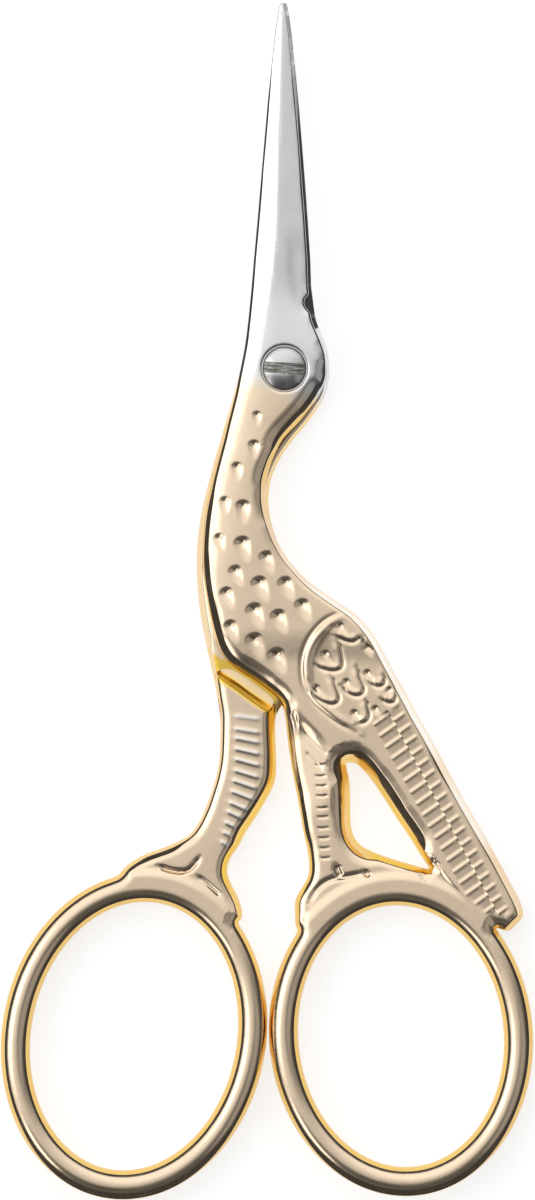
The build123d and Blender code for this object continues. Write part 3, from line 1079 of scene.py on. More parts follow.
@dataclass(frozen=True)
class BladeShape:
    """Flats of one blade: a broad one down its back and a shallow one to its edge.

    They meet in a ridge, which is crisp on the blade and rounded on the neck.
    """

    back_on_left: bool
    back_slope: float = 0.42
    edge_slope: float = 0.075
    root: float = 3.0
    middle_x: float = -0.26
    straight_x: float = -0.2
    straightened: float = 0.25
    round_on_neck: float = 1.05
    round_on_blade: float = 0.05
    plunge_depth: float = 0.065
    plunge_reach: float = 3.0

    def thickness(self, y: Points) -> Points:
        """Thickness of the blade along its length."""
        taper = HALF_THICKNESS + (TIP_THICKNESS - HALF_THICKNESS) * y / BLADE_LENGTH
        return mix(np.full_like(y, HALF_THICKNESS), taper, ease(1.5, 7.0, y))

    def ridge(self) -> Points:
        """Find where the two flats meet; the rear blade mirrors the front one's line.

        Returns:
            Points of the line, from the neck to the tip.
        """
        line = rounded(FRONT_RIDGE, 1)
        if self.back_on_left:
            return line
        mirrored = line[line[:, 1] > self.root].copy()
        mirrored[:, 0] = 2 * self.middle_x - mirrored[:, 0]
        straight = np.full(len(mirrored), self.straight_x)
        mirrored[:, 0] = mix(mirrored[:, 0], straight, self.straightened)
        return mirrored

    def level(self, places: Points) -> Points:
        """Work out the two flats.

        Args:
            places: Points in millimetres.

        Returns:
            Height at each of them.
        """
        y = places[:, 1]
        off, _ = line_reading(places, self.ridge())
        back = off if self.back_on_left else -off
        on_blade = ease(0.5, 6.0, y)
        round_off = mix(np.full_like(y, self.round_on_neck),
                        np.full_like(y, self.round_on_blade), on_blade)
        down = 0.5 * (back + np.sqrt(back ** 2 + round_off ** 2)) - 0.5 * round_off
        full = 1.0 - ease(19.5, 22.5, -y) if self.back_on_left else on_blade
        height = self.thickness(y) - self.back_slope * full * down
        height -= self.edge_slope * on_blade * np.clip(-back, 0.0, FAR)
        if self.back_on_left:
            height -= self.plunge_depth * self.plunge(places)
        return height

    def plunge(self, places: Points) -> Points:
        """Work out the shallow hollow on the cutting side of the plunge line.

        Args:
            places: Points in millimetres.

        Returns:
            1 where it is full and 0 outside.
        """
        off, share = line_reading(places, rounded(PLUNGE_LINE, 2))
        fade = ease(0.0, 0.35, share) * (1.0 - ease(0.92, 1.0, share))
        return ease(-0.05, 0.55, off) * fade * (np.abs(off) < self.plunge_reach)


@dataclass(frozen=True)
class Cove:
    """Cove under the breast: a hollow floor that climbs to the leg's face and rounds over."""

    floor: float = 0.55
    hollow: float = 0.30
    width: float = 0.85
    slope: float = 1.15
    rounding: float = 0.16
    lift: float = 0.012

    def level(self, places: Points, top: float) -> Points:
        """Work out the cove.

        Args:
            places: Points in millimetres.
            top: Height of the leg's face.

        Returns:
            Height at each place.
        """
        off, _ = line_reading(places, rounded(LEDGE_LINE, 2))
        far = np.clip(-off, 0.0, FAR)
        climb = (self.floor + self.hollow * np.minimum(far, self.width) ** 2
                 + self.slope * np.clip(far - self.width, 0.0, FAR))
        return (0.5 * (climb + top) - 0.5 * np.sqrt((climb - top) ** 2 + self.rounding ** 2)
                + self.lift)


def numbered(loops: Sequence[Points]) -> tuple[list[Points], list[tuple[int, int]]]:
    """Number the points of closed loops one after another, and join them.

    Args:
        loops: Points of each loop.

    Returns:
        The numbers of each loop, and the pairs of numbers that its edges join.
    """
    numbers: list[Points] = []
    edges: list[tuple[int, int]] = []
    first = 0
    for loop in loops:
        these = np.arange(first, first + len(loop))
        numbers.append(these)
        edges += [(int(a), int(b)) for a, b in zip(these, np.roll(these, -1))]
        first += len(loop)
    return numbers, edges


def triangulated(places: Points,
                 edges: list[tuple[int, int]]) -> tuple[Points, Points, list[list[int]]]:
    """Join places into triangles that keep the given edges.

    Args:
        places: Points in millimetres.
        edges: Pairs of their numbers.

    Returns:
        The points made, their triangles, and the numbers of the places each point stands for.
    """
    result = delaunay_2d_cdt([Vector(p) for p in places], edges, [], 1, 1e-7)
    made = np.array([tuple(v) for v in result[0]])
    triangles = np.array([tuple(f) for f in result[2] if len(f) == 3])
    return made, triangles, result[3]


def vertex_vectors(mesh: bpy.types.Mesh, kind: str) -> Points:
    """Read a vector of each point of a mesh.

    Args:
        mesh: Mesh to read.
        kind: Which vector: "co" or "normal".

    Returns:
        A row for each point.
    """
    values = np.zeros(len(mesh.vertices) * 3)
    mesh.vertices.foreach_get(kind, values)
    return values.reshape(-1, 3)


@dataclass
class Face:
    """One carved face of a half with its flat back, as a closed mesh.

    Heights are measured from the mating side, which is flat but for its broken corner.
    """

    LEVEL_BOW_BAND = (1.9, 2.7)
    CARVED_BOW_BAND = (2.25, 2.6)
    NECK_TO_LEG = (-24.0, -21.0)
    CARVED_LOW = -43.5
    CARVED_TOP = -2.2
    UNCARVED_TOP = -2.0
    COVE_LOW = -28.5
    GROUND_LOW = -2.5
    CORNER_LOW = (-27.0, -24.0)
    BLADE_LOW = 3.0
    LEAST_HEIGHT = 0.02
    LEAST_WALL = 0.01
    HOLE_ROWS = (0.05, 0.11, 0.17, 0.25)
    HOLE_MARGINS = (0.3, 0.32)

    half: Half
    side: Side
    rim: Rim
    base: float
    blade: Optional[BladeShape] = None
    seat: bool = False
    hole_radius: float = 0.0
    corners: Sequence[Corner] = ()
    corner_width: Optional[Points] = None
    corner_slope: Optional[Points] = None
    crown: float = 0.10
    neck_slope: float = 0.035
    neck_x: float = -3.3
    leg_drop: float = 0.20
    shin_slope: float = 0.19
    shin_x: float = 2.6
    tail_drop: float = 0.05
    seat_wear: float = 0.08
    seat_wear_width: float = 0.22
    seat_lip: float = 0.13
    hole_lip: float = 0.06
    circle_steps: int = 96
    ridge_step: float = 0.25
    fine: float = 0.092
    coarse: int = 3
    crisp_deg: float = 52.0

    @property
    def name(self) -> str:
        """Name of the piece: a face looks up, and a back looks down."""
        return f"{self.half.value}_{'face' if self.side is Side.UP else 'back'}"

    def level(self, places: Points) -> Points:
        """Work out the plain face: full on the body, lower on the legs and the tail.

        Args:
            places: Points in millimetres.

        Returns:
            Height at each of them.
        """
        face = np.full(len(places), HALF_THICKNESS)
        if self.blade is not None:
            face = mix(face, self.blade.level(places), ease(*self.NECK_TO_LEG, places[:, 1]))
        off_bow = 1.0 - self.rim.on_bow(places, self.LEVEL_BOW_BAND)
        if self.half is Half.REAR:
            return face - self.leg_drop * ease(22.0, 24.0, -places[:, 1]) * off_bow
        return self.front_level(places, face, off_bow)

    def front_level(self, places: Points, face: Points, off_bow: Points) -> Points:
        """Lower the front leg and the tail, and let the shin slope down to the left.

        Args:
            places: Points in millimetres.
            face: Height of the face before.
            off_bow: 1 away from the bow, 0 on it.

        Returns:
            Height at each place.
        """
        x, y = places[:, 0], places[:, 1]
        below, _ = line_reading(places, rounded(BREAST_LINE, 2))
        off_tail, _ = line_reading(places, rounded(TAIL_LINE, 0))
        legs = np.where(y < -20.0, ease(0.0, 1.0, -below), 0.0)
        legs = legs * ease(-1.0, 0.5, x) * ease(-0.1, 0.5, -off_tail)
        face = face - self.leg_drop * legs * off_bow
        shin = legs * ease(26.0, 28.0, -y) * (1.0 - ease(31.5, 34.0, -y))
        face = face + self.shin_slope * shin * np.clip(x - self.shin_x, -2.0, 1.0)
        tail = ease(24.0, 29.0, -y) * ease(0.0, 0.4, off_tail)
        return face - self.tail_drop * tail * off_bow

    def crowned(self, places: Points, gap: Points) -> Points:
        """Work out the gentle dome of the buffed neck and body.

        Args:
            places: Points in millimetres.
            gap: Distance of each from the outline.

        Returns:
            What the dome adds to the height, less than 0 near the edge.
        """
        x, y = places[:, 0], places[:, 1]
        strength = (1.0 - 0.6 * ease(14.0, 22.0, -y)) * (1.0 - ease(3.0, 8.0, y))
        depth = 1.0 - np.clip(gap / self.rim.REACH, 0.0, 1.0)
        neck = ease(4.0, 6.5, -y) * (1.0 - ease(11.5, 15.0, -y))
        lean = self.neck_slope * neck * np.clip(x - self.neck_x, -2.2, 2.3)
        return lean - self.crown * strength * depth ** 2

    def plain(self, places: Points) -> Points:
        """Work out the crowned face without its rim or ornament.

        Args:
            places: Points in millimetres.

        Returns:
            Height at each of them.
        """
        gap, _ = self.rim.edge(places)
        on_bow = self.rim.on_bow(places, self.CARVED_BOW_BAND)
        return self.level(places) + self.crowned(places, gap) * (1.0 - on_bow)

    def height(self, places: Points) -> Points:
        """Work out the finished face, with its rim, its carving and the wear at the seat.

        Args:
            places: Points in millimetres.

        Returns:
            Height at each of them.
        """
        gap, nearest = self.rim.edge(places)
        on_bow = self.rim.on_bow(places, self.CARVED_BOW_BAND)
        face = self.plain(places)
        if self.half is Half.REAR and self.side is Side.UP:
            under = places[:, 1] > self.COVE_LOW
            cove = Cove().level(places[under], HALF_THICKNESS - self.leg_drop)
            face[under] = np.minimum(face[under], cove)
        plain = np.maximum(self.rim.rise(places, face), self.LEAST_HEIGHT)
        reach = (self.rim.wall + self.rim.facet + 0.8 * self.rim.bevel)[nearest]
        fade = ease(0.6 * reach, reach + 0.12, gap) * (1.0 - on_bow)
        fade = np.where(places[:, 1] > self.UNCARVED_TOP, 0.0, fade)
        carved = carve_face(places, plain, fade)
        if self.seat:
            past = (np.hypot(places[:, 0], places[:, 1]) - SEAT_RADIUS) / self.seat_wear_width
            carved -= self.seat_wear * np.clip(1.0 - past, 0.0, 1.0) ** 2
        if self.side is Side.DOWN:
            carved = np.minimum(carved, HALF_THICKNESS)
        return np.maximum(carved, self.lipped(places, gap, nearest) + self.LEAST_WALL)

    def lipped(self, places: Points, gap: Points, nearest: Points) -> Points:
        """Find how far the corner of the mating side is broken.

        Args:
            places: Points in millimetres.
            gap: Distance of each from the outline.
            nearest: Number of the outline's point nearest to each.

        Returns:
            Height of the mating side at each place.
        """
        if self.corner_width is None:
            return np.zeros(len(places))
        width, slope = self.corner_width[nearest], self.corner_slope[nearest]
        return slope * np.clip(width - gap, 0.0, FAR)

    def break_corners(self) -> None:
        """Work out how the mating side's corner is broken all the way round."""
        if not self.corners:
            return
        size = blended(self.rim.points, [(c.x, c.y) for c in self.corners],
                       [(c.width, math.tan(math.radians(c.slope_deg))) for c in self.corners])
        y = self.rim.points[:, 1]
        thin = np.clip(1.15 - 0.9 * y / BLADE_LENGTH, 0.1, 1.0)
        size[:, 0] *= ease(*self.CORNER_LOW, y) * np.where(y > self.BLADE_LOW, thin, 1.0)
        self.corner_width, self.corner_slope = size.T

    def grid(self) -> Points:
        """Lay places inside the shoulders, close together where the face is carved.

        Returns:
            The places.
        """
        low, high = self.rim.points.min(axis=0), self.rim.points.max(axis=0)
        columns = np.arange(low[0], high[0], self.fine)
        rows = np.arange(low[1], high[1], self.fine)
        x, y = np.meshgrid(columns, rows)
        i, j = np.meshgrid(np.arange(len(columns)), np.arange(len(rows)))
        places = np.stack([x.ravel(), y.ravel()], axis=1)
        sparse = (i.ravel() % self.coarse == 0) & (j.ravel() % self.coarse == 0)
        carved = (places[:, 1] < self.CARVED_TOP) & (places[:, 1] > self.CARVED_LOW)
        places = places[carved | sparse]
        places = places[self.rim.inside(places)]
        gap, nearest = self.rim.edge(places)
        reach = (self.rim.wall + self.rim.facet + self.rim.bevel)[nearest]
        return places[gap > np.minimum(reach, 2.2) + 0.6 * self.fine]

    def top_radius(self) -> float:
        """Radius of the pivot hole at the face."""
        return SEAT_RADIUS if self.seat else self.hole_radius

    def ridge(self) -> Points:
        """Lay places along the ridge of the blade.

        Returns:
            The places, none where there is no blade.
        """
        if self.blade is None:
            return np.zeros((0, 2))
        line = self.blade.ridge()
        line = line[(line[:, 1] > self.BLADE_LOW) & (line[:, 1] < BLADE_LENGTH - 0.5)]
        y = np.arange(line[0, 1], line[-1, 1], self.ridge_step)
        return np.stack([np.interp(y, line[:, 1], line[:, 0]), y], axis=1)

    def circle(self, radius: float) -> Points:
        """Even places round the pivot."""
        turns = np.arange(self.circle_steps) * 2 * math.pi / self.circle_steps
        return np.stack([radius * np.cos(turns), radius * np.sin(turns)], axis=1)

    def mesh_plan(self) -> tuple[Points, Points, list[Points]]:
        """Join every place of the face into triangles.

        Returns:
            The places, the triangles, and the numbers of each boundary loop.
        """
        loops = [loop.points for loop in self.rim.loops]
        extra = [self.rim.ring_places(), self.grid()]
        if self.hole_radius:
            top = self.top_radius()
            loops.append(self.circle(top))
            extra = [part[np.hypot(part[:, 0], part[:, 1]) > top + margin]
                     for part, margin in zip(extra, self.HOLE_MARGINS)]
            extra += [self.circle(top + step) for step in self.HOLE_ROWS]
        ridge = self.ridge()
        numbers, edges = numbered(loops)
        first = sum(len(loop) for loop in loops)
        edges += [(first + k, first + k + 1) for k in range(len(ridge) - 1)]
        places = np.vstack(loops + [ridge] + extra)
        made, triangles, sources = triangulated(places, edges)
        new_number = np.zeros(len(places), int)
        for number, source in enumerate(sources):
            new_number[source] = number
        keep = self.in_material(made[triangles].mean(axis=1), self.top_radius())
        return made, triangles[keep], [new_number[these] for these in numbers]

    def in_material(self, places: Points, hole_radius: float) -> Points:
        """Find which places lie in the material.

        Args:
            places: Points in millimetres.
            hole_radius: Radius of the pivot hole at their level.

        Returns:
            Whether each one does.
        """
        keep = self.rim.inside(places)
        if self.hole_radius:
            keep &= np.hypot(places[:, 0], places[:, 1]) > hole_radius * 0.999
        return keep

    def raised(self, places: Points, height: Union[Points, float]) -> Points:
        """Points over the places, at a height from the mating side."""
        level = self.base + self.side.value * height
        return np.column_stack([places, np.broadcast_to(level, len(places))])

    def hole_steps(self) -> list[tuple[float, float]]:
        """List the steps down the pivot hole.

        Returns:
            Radius and height of each, none where there is no hole.
        """
        if not self.hole_radius:
            return []
        floor = HALF_THICKNESS - SEAT_DEPTH
        seat = [(SEAT_RADIUS, floor), (self.hole_radius, floor)] if self.seat else []
        return seat + [(self.hole_radius, 0.0)]

    def build(self) -> bpy.types.Object:
        """Make the closed mesh: the face, the hole's wall and the mating side.

        Returns:
            The piece.
        """
        self.rim.settle(self.plain)
        self.break_corners()
        places, faces, numbers = self.mesh_plan()
        outline_numbers = numbers[:len(self.rim.loops)]
        height = self.height(places)
        boundary = np.concatenate(outline_numbers)
        _, nearest = self.rim.edge(places[boundary])
        height[boundary] = self.lipped(places[boundary], np.zeros(len(boundary)), nearest)
        back_loops = [places[these] for these in outline_numbers]
        rings: list[Points] = []
        if self.hole_radius:
            rings.append(numbers[-1])
            height[numbers[-1]] = HALF_THICKNESS - (self.seat_lip if self.seat else self.hole_lip)
            back_loops.append(self.circle(self.hole_radius))
        verts = self.raised(places, height)
        for radius, level in self.hole_steps():
            rings.append(np.arange(len(verts), len(verts) + self.circle_steps))
            verts = np.vstack([verts, self.raised(self.circle(radius), level)])
        polygons = [tuple(int(n) for n in face) for face in faces]
        for upper, lower in zip(rings, rings[1:]):
            for quad in zip(upper, np.roll(upper, -1), np.roll(lower, -1), lower):
                polygons.append(tuple(int(n) for n in quad))
        outer_count = len(polygons)
        triangles, added = self.mating_side(back_loops, outline_numbers + rings[-1:], len(verts))
        return self.to_object(np.vstack([verts, added]), polygons + triangles, outer_count)

    def corner_rows(self) -> Points:
        """Follow the mating side's broken corner down the neck.

        Returns:
            Places in three rows, none where no corner is broken.
        """
        if self.corner_width is None:
            return np.zeros((0, 2))
        rows = []
        broken = self.corner_width > 0.03
        for share in (0.5, 0.93, 1.07):
            offset = (self.corner_width * share)[broken]
            row = self.rim.points[broken] + self.rim.inward[broken] * offset[:, None]
            gap, _ = self.rim.edge(row)
            rows.append(row[np.abs(gap - offset) < 0.2 * offset + 0.01])
        return np.vstack(rows)

    def ledge_places(self) -> Points:
        """Lay places on the rear back's flat just under the breast, for its painted yellow
        reflection.

        Returns:
            The places, none on the other pieces.
        """
        if self.half is not Half.REAR or self.side is not Side.DOWN:
            return np.zeros((0, 2))
        x, y = np.meshgrid(np.arange(-5.4, 0.9, 0.2), np.arange(-26.0, -20.5, 0.2))
        places = np.stack([x.ravel(), y.ravel()], axis=1)
        gap, _ = self.rim.edge(places)
        return places[self.rim.inside(places) & (gap > 0.65)]

    def mating_side(self, loops: list[Points], owners: list[Points],
                    start: int) -> tuple[list[tuple[int, ...]], Points]:
        """Join the mating side between the same boundary points.

        Args:
            loops: Places of the outline loops and of the hole's last ring.
            owners: Numbers of their points in the mesh.
            start: Number that the first added point gets.

        Returns:
            The triangles and the added points.
        """
        extra = np.vstack([self.corner_rows(), self.ledge_places()])
        owner = np.concatenate(owners + [np.arange(start, start + len(extra))])
        _, edges = numbered(loops)
        made, triangles, sources = triangulated(np.vstack(loops + [extra]), edges)
        keep = self.in_material(made[triangles].mean(axis=1), self.hole_radius)
        gap, nearest = self.rim.edge(extra)
        joined = [tuple(int(owner[sources[n][0]]) for n in triangle[::-1])
                  for triangle in triangles[keep]]
        return joined, self.raised(extra, self.lipped(extra, gap, nearest))

    def to_object(self, verts: Points, polygons: list[tuple[int, ...]],
                  outer_count: int) -> bpy.types.Object:
        """Turn the arrays into an object with its attribute, slots and normals.

        Args:
            verts: Points in millimetres.
            polygons: Numbers of each polygon's points.
            outer_count: How many of the polygons come before the mating side's.

        Returns:
            The piece.
        """
        mesh = bpy.data.meshes.new(self.name)
        mesh.from_pydata((verts * MM).tolist(), [], polygons)
        ground = np.zeros(len(polygons), int)
        for number, polygon in enumerate(polygons[outer_count:], outer_count):
            points = verts[list(polygon)]
            flat = np.ptp(points[:, 2]) < 0.01
            ground[number] = int(points[:, 1].min() > self.GROUND_LOW and flat)
        mesh.polygons.foreach_set("material_index", ground)
        mesh.polygons.foreach_set("use_smooth", np.ones(len(mesh.polygons), bool))
        piece = bpy.data.objects.new(self.name, mesh)
        bpy.context.scene.collection.objects.link(piece)
        select_only(piece)
        bpy.ops.object.mode_set(mode="EDIT")
        bpy.ops.mesh.select_all(action="SELECT")
        bpy.ops.mesh.delete_loose()
        bpy.ops.mesh.select_all(action="SELECT")
        bpy.ops.mesh.normals_make_consistent(inside=False)
        bpy.ops.object.mode_set(mode="OBJECT")
        bpy.ops.object.shade_smooth_by_angle(angle=math.radians(self.crisp_deg))
        self.paint(mesh)
        return piece

    def paint(self, mesh: bpy.types.Mesh) -> None:
        """Store the painted colour of each point: deep-yellow reflection above 0, highlight below
        0.

        Args:
            mesh: Mesh to paint.
        """
        places = vertex_vectors(mesh, "co") / MM
        steep = 1.0 - np.abs(vertex_vectors(mesh, "normal")[:, 2])
        gap, nearest = self.rim.edge(places[:, :2])
        # Steep walls get a painted deep-yellow reflection, or a painted near-white highlight below
        # 0
        warm = self.rim.warmth[nearest] * ease(0.30, 0.62, steep)
        if self.half is Half.REAR:
            warm = np.maximum(warm, self.under_breast(places, gap))
            # Painted near-white highlight along the tops of the leg's bars
            painted_highlight = np.zeros(len(places))
            for line in LegBars().lines():
                Mark(line, depth=-1.0, half_width=0.14).carve(places[:, :2], painted_highlight)
            warm = warm - np.minimum(painted_highlight, 1.0) * (1.0 - ease(0.10, 0.30, steep))
        attribute = mesh.attributes.new("warmth", "FLOAT", "POINT")
        attribute.data.foreach_set("value", warm.astype(np.float32))

    def under_breast(self, places: Points, gap: Points) -> Points:
        """Work out the painted deep-yellow reflection under the breast, with the cove's pale lit
        band.

        Args:
            places: Points in millimetres, with their heights.
            gap: Distance of each from the outline.

        Returns:
            How deep it is at each place.
        """
        off, _ = line_reading(places[:, :2], rounded(LEDGE_LINE, 2))
        deep = (1.0 - ease(1.40, 1.62, -off)) * ease(-0.1, 0.3, gap)
        if self.side is Side.UP:
            lit = ease(0.10, 0.32, -off) * (1.0 - ease(0.62, 0.92, -off))
            return deep * (1.0 - 0.68 * lit)
        return deep * ((1.0 - ease(0.2, 0.6, off)) * (places[:, 2] > HALF_THICKNESS - 0.02))


def linear(hex_colour: str) -> tuple[float, float, float, float]:
    """Turn an sRGB hex value to a linear colour.

    Args:
        hex_colour: Hash sign and six digits.

    Returns:
        Red, green, blue and 1.
    """
    parts = [int(hex_colour[k:k + 2], 16) / 255.0 for k in (1, 3, 5)]
    values = [p / 12.92 if p <= 0.04045 else ((p + 0.055) / 1.055) ** 2.4 for p in parts]
    return (values[0], values[1], values[2], 1.0)


def scale_of(size_mm: float) -> float:
    """Scale of a pattern whose features are so many millimetres across."""
    return 1.0 / (size_mm * MM)


def add_node(tree: bpy.types.NodeTree, kind: str, inputs: Optional[dict] = None,
             **settings: object) -> bpy.types.Node:
    """Add a node with its settings, and set or link its inputs.

    Args:
        tree: Node tree to add to.
        kind: Node type.
        inputs: Values or output sockets by input name or number.
        settings: Properties of the node.

    Returns:
        The node.
    """
    node = tree.nodes.new(kind)
    for name, value in settings.items():
        setattr(node, name, value)
    for key, value in (inputs or {}).items():
        if isinstance(value, bpy.types.NodeSocket):
            tree.links.new(value, node.inputs[key])
        else:
            node.inputs[key].default_value = value
    return node


def new_material(name: str) -> tuple[bpy.types.Material, bpy.types.NodeTree, bpy.types.Node]:
    """Start a node material with an empty output.

    Args:
        name: Name of the material.

    Returns:
        The material, its node tree and the output node.
    """
    material = bpy.data.materials.new(name)
    material.use_nodes = True
    tree = material.node_tree
    tree.nodes.clear()
    return material, tree, add_node(tree, "ShaderNodeOutputMaterial")


@dataclass(frozen=True)
class PlatedSteel:
    """Forged steel, mirror-buffed and plated with pale gold up to the pivot.

    To the eye it is a soft mirror that is nowhere quite flat: buffing by hand leaves shallow
    waves, and the forging's pits show through. The faces are pale gold. The steep walls are
    painted a deep yellow, partly plating left unbuffed there and partly painted reflection of
    gold facing gold; some walls and the leg's bars get a painted near-white highlight. Above
    the pivot the steel is bare and bright.
    """

    name: str = "pale_gold_plate_on_buffed_steel"
    pale: str = "#F1DABD"
    # deep is a painted yellow reflection on steep walls, partly plating left unbuffed there
    deep: str = "#F1CA58"
    painted_highlight: str = "#FBF7EF"
    steel: str = "#DFE0DF"
    edge_white: float = 0.45
    bare_from_mm: float = -2.4
    bare_to_mm: float = -0.2
    bare_slant: float = 0.30
    drift_mm: float = 3.0
    drift_by_mm: float = 0.7
    roughness: float = 0.12
    dullest: float = 1.35
    brightest: float = 0.75
    cloud_mm: float = 1.4
    wave_mm: float = 2.2
    wave_depth_mm: float = 0.05
    # The real pits are finer, and are drawn as coarse as they need to be to show
    pit_mm: float = 0.16
    pit_depth_mm: float = 0.02

    def colour(self, tree: bpy.types.NodeTree,
               place: bpy.types.NodeSocket) -> bpy.types.NodeSocket:
        """Pass from the plating to the bare steel along an uneven slanting line.

        Args:
            tree: Node tree of the material.
            place: Object coordinates.

        Returns:
            The colour.
        """
        split = add_node(tree, "ShaderNodeSeparateXYZ", {0: place})
        slant = add_node(tree, "ShaderNodeMath",
                         {0: split.outputs["X"], 1: self.bare_slant, 2: split.outputs["Y"]},
                         operation="MULTIPLY_ADD")
        drift = add_node(tree, "ShaderNodeTexNoise",
                         {"Vector": place, "Scale": scale_of(self.drift_mm)})
        level = add_node(tree, "ShaderNodeMath",
                         {0: drift.outputs["Fac"], 1: self.drift_by_mm * MM, 2: slant.outputs[0]},
                         operation="MULTIPLY_ADD")
        bare = add_node(tree, "ShaderNodeMapRange",
                        {0: level.outputs[0], 1: self.bare_from_mm * MM,
                         2: self.bare_to_mm * MM, 3: 0.0, 4: 1.0},
                        interpolation_type="SMOOTHSTEP")
        # The warmth attribute is painted light: deep-yellow reflection above 0, near-white
        # highlight below 0
        warmth = add_node(tree, "ShaderNodeAttribute", attribute_name="warmth").outputs["Fac"]
        paler = add_node(tree, "ShaderNodeMath", {0: warmth, 1: -1.0},
                         operation="MULTIPLY", use_clamp=True)
        mixed = linear(self.pale)
        for share, added in ((paler.outputs[0], self.painted_highlight), (warmth, self.deep),
                             (bare.outputs[0], self.steel)):
            mixed = add_node(tree, "ShaderNodeMix", {0: share, 6: mixed, 7: linear(added)},
                             data_type="RGBA").outputs[2]
        return mixed

    def relief(self, tree: bpy.types.NodeTree,
               place: bpy.types.NodeSocket) -> bpy.types.NodeSocket:
        """Lay the pits over the waves of the buffing.

        Args:
            tree: Node tree of the material.
            place: Object coordinates.

        Returns:
            The normal.
        """
        wave = add_node(tree, "ShaderNodeTexNoise",
                        {"Vector": place, "Scale": scale_of(self.wave_mm), "Detail": 2.0})
        pit = add_node(tree, "ShaderNodeTexNoise",
                       {"Vector": place, "Scale": scale_of(self.pit_mm), "Detail": 4.0})
        soft = add_node(tree, "ShaderNodeBump",
                        {"Strength": 0.4, "Distance": self.wave_depth_mm * MM,
                         "Height": wave.outputs["Fac"]})
        return add_node(tree, "ShaderNodeBump",
                        {"Strength": 0.16, "Distance": self.pit_depth_mm * MM,
                         "Height": pit.outputs["Fac"], "Normal": soft.outputs[0]}).outputs[0]

    def build(self) -> bpy.types.Material:
        """Build the material.

        Returns:
            The material.
        """
        material, tree, output = new_material(self.name)
        place = add_node(tree, "ShaderNodeTexCoord").outputs["Object"]
        colour = self.colour(tree, place)
        cloud = add_node(tree, "ShaderNodeTexNoise",
                         {"Vector": place, "Scale": scale_of(self.cloud_mm), "Detail": 5.0})
        rough = add_node(tree, "ShaderNodeMapRange",
                         {0: cloud.outputs["Fac"], 1: 0.3, 2: 0.75,
                          3: self.roughness * self.brightest, 4: self.roughness * self.dullest})
        edge = add_node(tree, "ShaderNodeMix", {0: self.edge_white, 6: colour, 7: WHITE},
                        data_type="RGBA")
        shader = add_node(tree, "ShaderNodeBsdfPrincipled",
                          {"Base Color": colour, "Metallic": 1.0,
                           "Specular Tint": edge.outputs[2], "Roughness": rough.outputs[0],
                           "Normal": self.relief(tree, place)})
        tree.links.new(shader.outputs[0], output.inputs[0])
        return material


@dataclass(frozen=True)
class GroundSteel:
    """Flat inner faces, ground across their length and left satin.

    To the eye they are even and a little dull, with faint straight lines across the blade.
    """

    name: str = "satin_ground_inner_faces"
    plate: str = "#DCCDAE"
    steel: str = "#C9CBCB"
    bare_from_mm: float = -3.5
    bare_to_mm: float = -1.5
    # The grinding lines are finer, and are drawn as coarse as they need to be to show
    line_mm: float = 0.12
    line_depth_mm: float = 0.01
    smoothest: float = 0.26
    roughest: float = 0.42

    def build(self) -> bpy.types.Material:
        """Build the material.

        Returns:
            The material.
        """
        material, tree, output = new_material(self.name)
        place = add_node(tree, "ShaderNodeTexCoord").outputs["Object"]
        split = add_node(tree, "ShaderNodeSeparateXYZ", {0: place})
        bare = add_node(tree, "ShaderNodeMapRange",
                        {0: split.outputs["Y"], 1: self.bare_from_mm * MM,
                         2: self.bare_to_mm * MM, 3: 0.0, 4: 1.0},
                        interpolation_type="SMOOTHSTEP")
        colour = add_node(tree, "ShaderNodeMix",
                          {0: bare.outputs[0], 6: linear(self.plate), 7: linear(self.steel)},
                          data_type="RGBA")
        stretch = add_node(tree, "ShaderNodeMapping",
                           {"Vector": place, "Scale": (0.08, 1.0, 0.08)})
        line = add_node(tree, "ShaderNodeTexNoise",
                        {"Vector": stretch.outputs[0], "Scale": scale_of(self.line_mm),
                         "Detail": 3.0})
        rough = add_node(tree, "ShaderNodeMapRange",
                         {0: line.outputs["Fac"], 1: 0.3, 2: 0.7,
                          3: self.smoothest, 4: self.roughest})
        bump = add_node(tree, "ShaderNodeBump",
                        {"Strength": 0.4, "Distance": self.line_depth_mm * MM,
                         "Height": line.outputs["Fac"]})
        shader = add_node(tree, "ShaderNodeBsdfPrincipled",
                          {"Base Color": colour.outputs[2], "Metallic": 1.0,
                           "Roughness": rough.outputs[0], "Normal": bump.outputs[0]})
        tree.links.new(shader.outputs[0], output.inputs[0])
        return material


